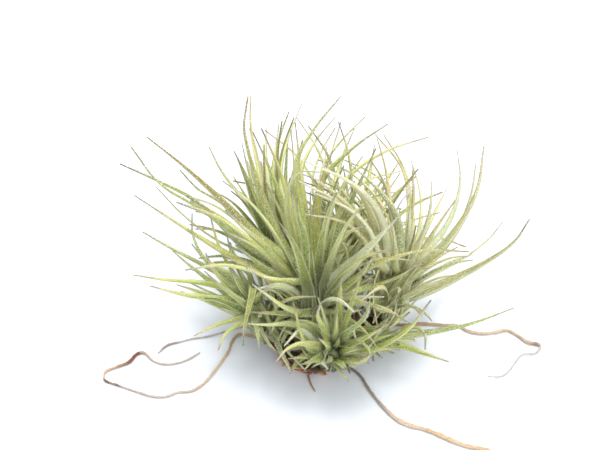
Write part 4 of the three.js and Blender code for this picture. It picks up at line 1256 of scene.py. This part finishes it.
def add_flake(piece, root, out, long, wide, lift, **facts):
    bends = np.linspace(0, 1, 4)
    through = root + out * (bends * long * math.cos(lift))[:, None]
    through = through + UP * ((bends * math.sin(lift) + FLAKE["curl"] * bends**2) * long)[:, None]
    line = evenly(through, FLAKE["rings"])
    share = np.linspace(0, 1, len(line))
    tangents = tangents_of(line)
    sides = sides_of(tangents, np.cross(UP, out))
    half = wide / 2 * (1 - share ** FLAKE["narrowing"]) + FLAKE["point"]
    depth = wide * FLAKE["arch"] * (1 - FLAKE["flatter"] * share)
    thick = FLAKE["thick"] - FLAKE["thinner"] * share
    shape, across = section(line, sides, np.cross(tangents, sides), half, depth, thick)
    piece.add(
        shape,
        tube_faces(*across.shape),
        along=share[:, None] * long,
        across=across,
        share=share[:, None],
        edge=np.abs(ACROSS),
        **facts,
    )


# The chips: one on each old leaf base, short ones up the dome, and a skirt of flatter ones round its foot.
# A pair is a least value and how much chance adds.
FLAKES_SEED = 307
# the chips on the old leaf bases get painted shade, more or less by chance
BASE_CHIP = {"long": 0.95 * SCALES["long"], "wide": 4.2, "dark": (0.45, 0.4)}
CHIPS = {
    "count": 90,
    "low": 0.7,
    "rise": 8.2,
    "dense": 0.8,  # less than 1 packs them at the top
    "turn": 0.4,
    "sunk": 1.0,
    # painted shade, which sets in above dark_from and grows over dark_over, more or less by chance
    "dark": 0.92,
    "dark_from": 1.2,
    "dark_over": 3,
    "dark_power": 0.3,
    "sizes": {"long": (2.0, 1.75), "wide": (1.92, 1.6), "lift": (0.35, 0.8)},
}
SKIRT = {
    "count": 64,
    "height": (0.6, 1.3),
    "sideways": 1.6,
    "sunk": 1.2,
    "yellow": (0.2, 1.2),
    "red": 0.7,
    "red_power": 3,
    "sizes": {"long": (2.1, 2.94), "wide": (1.3, 1.56), "lift": (0.02, 0.4)},
}


def add_base_chips(piece, draw):
    for points in old_bases:
        way = unit(points[-1] - points[0])
        out = unit(way * np.array([1, 1, 0]))
        lift = math.atan2(way[2], np.hypot(way[0], way[1]))
        facts = {"yellow": next(draw), "deep": chance(BASE_CHIP["dark"], draw), "own": next(draw)}
        add_flake(piece, points[0], out, BASE_CHIP["long"], BASE_CHIP["wide"], lift, **facts)


def add_chips(piece, draw):
    for index in range(CHIPS["count"]):
        share = (index + 0.5) / CHIPS["count"]
        z = CHIPS["low"] + CHIPS["rise"] * share ** CHIPS["dense"]
        out = dome_way(index * GOLDEN_ANGLE + CHIPS["turn"] * next(draw))
        root = out * (dome_radius(z) - CHIPS["sunk"]) + UP * z
        dark = CHIPS["dark"] * smooth_step((z - CHIPS["dark_from"]) / CHIPS["dark_over"])
        facts = {"yellow": next(draw), "deep": dark * next(draw) ** CHIPS["dark_power"], "own": next(draw)}
        sizes = {name: chance(pair, draw) for name, pair in CHIPS["sizes"].items()}
        add_flake(piece, root, unit(out), **sizes, **facts)


def add_skirt(piece, draw):
    for index in range(SKIRT["count"]):
        out = dome_way(2 * math.pi * (index + next(draw)) / SKIRT["count"])
        z = chance(SKIRT["height"], draw)
        root = out * (dome_radius(z) - SKIRT["sunk"]) + UP * z
        way = unit(out + SKIRT["sideways"] * (next(draw) - 0.5) * np.array([-out[1], out[0], 0]))
        facts = {"yellow": chance(SKIRT["yellow"], draw)}
        facts["bronze"] = SKIRT["red"] * next(draw) ** SKIRT["red_power"]
        facts["own"] = next(draw)
        sizes = {name: chance(pair, draw) for name, pair in SKIRT["sizes"].items()}
        add_flake(piece, root, way, **sizes, **facts)


# Materials
def color(red, green, blue):
    """A colour given as 0 to 255 on screen, as the shader wants it."""
    shares = np.array([red, green, blue]) / 255
    linear = np.where(shares <= 0.04045, shares / 12.92, ((shares + 0.055) / 1.055) ** 2.4)
    return (*linear, 1.0)


class Shading:
    """Builds the nodes of one material."""

    def __init__(self, name, roughness, sheen):
        self.material = bpy.data.materials.new(name)
        self.material.use_nodes = True
        self.tree = self.material.node_tree
        self.shader = self.tree.nodes["Principled BSDF"]
        self.shader.inputs["Roughness"].default_value = roughness
        self.shader.inputs["Sheen Weight"].default_value = sheen
        self.shader.inputs["Sheen Roughness"].default_value = 0.4
        self.shader.inputs["Specular IOR Level"].default_value = 0.3

    def put(self, value, socket):
        """Links an output to a socket, or sets the socket to a value."""
        if isinstance(value, bpy.types.NodeSocket):
            self.tree.links.new(value, socket)
        else:
            socket.default_value = value

    def node(self, kind, inputs=(), **settings):
        node = self.tree.nodes.new(kind)
        for name, value in settings.items():
            setattr(node, name, value)
        for socket, value in dict(inputs).items():
            self.put(value, node.inputs[socket])
        return node

    def fact(self, name):
        return self.node("ShaderNodeAttribute", attribute_name=name).outputs["Fac"]

    def calc(self, operation, a, b, clamp):
        return self.node("ShaderNodeMath", {0: a, 1: b}, operation=operation, use_clamp=clamp).outputs[0]

    def times(self, a, b, clamp=False):
        return self.calc("MULTIPLY", a, b, clamp)

    def plus(self, a, b, clamp=False):
        return self.calc("ADD", a, b, clamp)

    def within(self, value, low, high, to=(0.0, 1.0)):
        """Turns the values from low to high smoothly into those between the two of to."""
        inputs = {"Value": value, "From Min": low, "From Max": high, "To Min": to[0], "To Max": to[1]}
        return self.node("ShaderNodeMapRange", inputs, interpolation_type="SMOOTHSTEP").outputs[0]

    def ramp(self, value, stops):
        node = self.node("ShaderNodeValToRGB", {"Fac": value})
        points = node.color_ramp.elements
        for i, (place, *shade) in enumerate(stops):
            point = points[i] if i < 2 else points.new(place)
            point.position = place
            point.color = color(*shade)
        return node.outputs["Color"]

    def mix(self, factor, a, b):
        node = self.node("ShaderNodeMix", data_type="RGBA")
        sockets = {socket.identifier: socket for socket in node.inputs}
        self.put(factor, sockets["Factor_Float"])
        self.put(a, sockets["A_Color"])
        self.put(b, sockets["B_Color"])
        return next(socket for socket in node.outputs if socket.identifier == "Result_Color")

    def place(self, x, y, z):
        return self.node("ShaderNodeCombineXYZ", {0: x, 1: y, 2: z}).outputs[0]

    def noise(self, vector, scale, detail=3.0):
        inputs = {"Vector": vector, "Scale": scale, "Detail": detail}
        return self.node("ShaderNodeTexNoise", inputs).outputs["Fac"]

    def finish(self, shade, roughness, height, depth):
        self.put(shade, self.shader.inputs["Base Color"])
        if roughness is not None:
            self.put(roughness, self.shader.inputs["Roughness"])
        bump = self.node("ShaderNodeBump", {"Height": height, "Distance": depth, "Strength": 1.0})
        self.put(bump.outputs[0], self.shader.inputs["Normal"])
        return self.material


# Along a leaf, from the sheath to the tip: a green leaf and a yellower one
GREEN_LEAF = [
    (0.0, 194, 206, 134),
    (0.1, 174, 196, 84),
    (0.35, 158, 186, 48),
    (0.68, 182, 196, 90),
    (0.8, 190, 180, 116),
    (0.88, 166, 148, 132),
    (0.94, 132, 116, 128),
    (1.0, 94, 82, 96),
]
YELLOW_LEAF = [
    (0.0, 228, 226, 176),
    (0.1, 214, 214, 112),
    (0.35, 200, 202, 100),
    (0.68, 208, 204, 122),
    (0.8, 206, 190, 134),
    (0.88, 178, 156, 142),
    (0.94, 140, 122, 132),
    (1.0, 100, 86, 100),
]
OLIVE = color(188, 190, 92)
BRONZE = color(184, 138, 82)
STRAW = color(230, 208, 172)
FINE_LINES = color(72, 102, 18)
UPPER_SIDE = color(66, 98, 16)
DARK_LEAF = color(82, 112, 34)
PALE_LEAF = color(222, 228, 178)
SILVER = color(224, 230, 212)
FROST = color(243, 247, 220)
MARGIN = color(237, 239, 192)
PAINTED_SHADE_GREEN = color(30, 42, 10)
OWN_SPREAD = 50.0  # moves each leaf's pattern by its own number


def leaf_material():
    shading = Shading("leaf_tissue", roughness=0.55, sheen=0.06)
    fact, mix, noise = shading.fact, shading.mix, shading.noise
    within, times, plus = shading.within, shading.times, shading.plus
    along, across, share, silver, own = map(fact, ("along", "across", "share", "silver", "own"))
    spread = shading.place(along, across, times(own, OWN_SPREAD))
    # colour by age
    shade = mix(fact("yellow"), shading.ramp(share, GREEN_LEAF), shading.ramp(share, YELLOW_LEAF))
    shade = mix(within(noise(spread, 0.12), 0.4, 0.7, to=(0.0, 0.4)), shade, OLIVE)
    aged = times(fact("bronze"), within(share, 0.0, 0.6, to=(0.2, 1.0)), clamp=True)
    aged = times(aged, within(noise(spread, 0.3), 0.25, 0.6, to=(0.7, 1.0)))
    shade = mix(aged, shade, BRONZE)
    shade = mix(times(fact("dry"), 0.9, clamp=True), shade, STRAW)
    # fine lines along the leaf, and its greener upper side
    lines = noise(shading.place(times(along, 0.12), times(across, 3.0), own), 1.6, 2.0)
    shade = mix(within(lines, 0.38, 0.7, to=(0.0, 0.54)), shade, FINE_LINES)
    shade = mix(times(fact("upper"), 0.25), shade, UPPER_SIDE)
    # some leaves are darker or paler than others
    shade = mix(within(own, 0.5, 0.95, to=(0.0, 0.55)), shade, DARK_LEAF)
    shade = mix(within(own, 0.4, 0.0, to=(0.0, 0.4)), shade, PALE_LEAF)
    # pale scales in rows, denser towards the sheath and the margin
    cells = shading.node("ShaderNodeTexVoronoi", {"Vector": spread, "Scale": 2.1, "Randomness": 0.75})
    spots = within(cells.outputs["Distance"], 0.44, 0.22)
    amount = plus(times(silver, 0.6), within(share, 0.6, 0.0, to=(0.0, 0.2)), clamp=True)
    frosted = plus(times(amount, 0.16), within(silver, 0.65, 1.0, to=(0.0, 0.5)))
    shade = mix(frosted, shade, SILVER)
    shade = mix(times(spots, plus(amount, 0.38, clamp=True)), shade, FROST)
    margin = times(within(fact("edge"), 0.62, 1.0, to=(0.0, 0.85)), within(share, 0.75, 1.0, to=(1.0, 0.3)))
    shade = mix(margin, shade, MARGIN)
    # painted shade deep in the clump: on sheaths, bulbs and the lower blades of inner leaves
    shade = mix(fact("deep"), shade, PAINTED_SHADE_GREEN)
    height = plus(times(spots, 0.7), times(lines, 0.6))
    return shading.finish(shade, within(spots, 0.0, 1.0, to=(0.45, 0.8)), height, 0.00014)


ROOT_STOPS = [(0.0, 166, 130, 96), (0.35, 198, 168, 134), (0.65, 220, 198, 168), (1.0, 236, 220, 196)]
GREY_STOPS = [(0.0, 178, 172, 176), (0.5, 206, 200, 204), (1.0, 226, 222, 222)]
WOOD_STOPS = [(0.0, 126, 74, 52), (0.35, 182, 122, 88), (0.7, 220, 168, 130), (1.0, 240, 208, 172)]
GREY_BARK = color(150, 144, 142)
PALE_BARK = color(204, 196, 188)
BARK_EDGE = color(226, 196, 158)
RED_BARK = color(104, 54, 36)
PAINTED_SHADE_BARK = color(40, 38, 22)


def bark_material(name, stops, scale, depth):
    shading = Shading(name, roughness=0.85, sheen=0.1)
    fact, mix, within, times = shading.fact, shading.mix, shading.within, shading.times
    spread = shading.place(fact("along"), fact("across"), times(fact("own"), OWN_SPREAD))
    grain = shading.noise(spread, scale, 5.0)
    drift = shading.noise(spread, 0.07, 2.0)
    tone = shading.plus(times(grain, 0.5), times(drift, 0.5))
    tone = shading.plus(tone, times(fact("yellow"), 0.25))
    shade = shading.ramp(within(tone, 0.3, 0.9), stops)
    shade = mix(fact("silver"), shade, mix(grain, GREY_BARK, PALE_BARK))
    shade = mix(fact("bronze"), shade, RED_BARK)
    shade = mix(within(fact("edge"), 0.7, 1.0, to=(0.0, 0.4)), shade, BARK_EDGE)
    # painted shade on the hidden wood, the branches and parts of the roots
    shade = mix(fact("deep"), shade, PAINTED_SHADE_BARK)
    return shading.finish(shade, None, grain, depth)


leaf_tissue = leaf_material()
root_bark = bark_material("root_bark_look", ROOT_STOPS, scale=1.3, depth=0.00012)
root_grey = bark_material("root_grey_look", GREY_STOPS, scale=1.5, depth=0.00008)
dry_wood = bark_material("dry_wood_look", WOOD_STOPS, scale=0.9, depth=0.0002)

# The rosettes
LEAF_SLOTS = {"right": "leaf_silver", "front": "leaf_fresh", "low_right": "leaf_fresh"}
LOOK_SEED = 1000
for name, rosette in ROSETTES.items():
    piece = Piece("rosette_" + name)
    add_bulb(piece, rosette, SHEATH_PAINTED_SHADE.get(name, 1.0))
    draw = draws(rosette["seed"] + LOOK_SEED)
    for leaf in leaves[name]:
        add_leaf(piece, rosette, leaf, leaf_look(name, leaf, draw), draw)
    piece.make(LEAF_SLOTS.get(name, "leaf_green"), leaf_tissue)

# The woody base, with its branches
BRANCH_SEED = 60
base = Piece("woody_base")
add_dome(base)
for index, rosette in enumerate(ROSETTES.values()):
    thick = 2 * rosette["radius"] * BRANCH_SHARE
    # the branches, hidden among the sheaths, get painted shade
    add_wire(base, branch_line(rosette), thick, thick, BRANCH_SEED + index, yellow=0.3, deep=0.93)
flake_draw = draws(FLAKES_SEED)
add_base_chips(base, flake_draw)
add_chips(base, flake_draw)
add_skirt(base, flake_draw)
base.make("dry_sheath", dry_wood)

# The roots
ROOT_SEED = 20
ROOT_GIRTH = 0.96
CURLY_LOOK = {"thick": 0.95, "thin": 0.6, "seed": 31}  # its ends as shares of the part's thickness
for index, (name, root) in enumerate(ROOTS.items()):
    piece = Piece(name)
    thick, thin = root["thick"] * ROOT_GIRTH, root["thin"] * ROOT_GIRTH
    add_wire(piece, wires[name], thick, thin, ROOT_SEED + index, ROOT_LOOKS[name])
    piece.make("root_bark", root_bark)
curly = Piece("root_back")
thick, thin = CURLY["thick"] * CURLY_LOOK["thick"], CURLY["thick"] * CURLY_LOOK["thin"]
add_wire(curly, wires["root_back"], thick, thin, CURLY_LOOK["seed"])
curly.make("root_grey", root_grey)

# The camera at the front view
SENSOR = 36.0
lens = bpy.data.cameras.new("front_view")
lens.sensor_width = SENSOR
lens.lens = SENSOR * VIEW["pixels_per_unit"] / VIEW["width"]
lens.clip_start = 0.01
lens.clip_end = 20
camera = bpy.data.objects.new("front_view", lens)
matrix = Matrix([[*row] for row in np.column_stack([RIGHT, ABOVE, -AHEAD])]).to_4x4()
matrix.translation = (VIEW["target"] - AHEAD * VIEW["distance"]) * MM
camera.matrix_world = matrix
scene.collection.objects.link(camera)
scene.camera = camera

# The pale floor, a little below the plant
FLOOR_HALF = 4.0
FLOOR_DROP = 0.00005
floor_corners = [(x * FLOOR_HALF, y * FLOOR_HALF, 0) for x, y in ((-1, -1), (1, -1), (1, 1), (-1, 1))]
floor_mesh = bpy.data.meshes.new("floor")
floor_mesh.from_pydata(floor_corners, [], [(0, 1, 2, 3)])
floor = bpy.data.objects.new("floor", floor_mesh)
floor.location.z = -FLOOR_DROP
scene.collection.objects.link(floor)
floor_shading = Shading("floor_look", roughness=0.9, sheen=0.0)
floor_grain = floor_shading.noise(floor_shading.node("ShaderNodeTexCoord").outputs["Object"], 3.0)
floor_shade = floor_shading.mix(floor_grain, color(227, 231, 240), color(231, 235, 243))
floor_mesh.materials.append(floor_shading.finish(floor_shade, None, floor_grain, 0.0))


# Soft studio light
def area_light(name, at, size, power, shade):
    """A square light that faces the plant, with its place and size in metres."""
    data = bpy.data.lights.new(name, "AREA")
    data.size = size
    data.energy = power
    data.color = shade
    light = bpy.data.objects.new(name, data)
    light.location = at
    light.rotation_euler = (-light.location).to_track_quat("-Z", "Y").to_euler()
    scene.collection.objects.link(light)


area_light("key", at=(0.05, 0.16, 0.85), size=0.55, power=8.3, shade=(1.0, 0.99, 0.96))
area_light("front_fill", at=(0.5, -0.75, 0.6), size=0.8, power=6.2, shade=(0.98, 0.98, 1.0))
world = bpy.data.worlds.new("studio")
world.use_nodes = True
background = world.node_tree.nodes["Background"]
background.inputs["Color"].default_value = (0.94, 0.97, 1.0, 1.0)
background.inputs["Strength"].default_value = 0.72
scene.world = world
scene.view_settings.view_transform = "Standard"
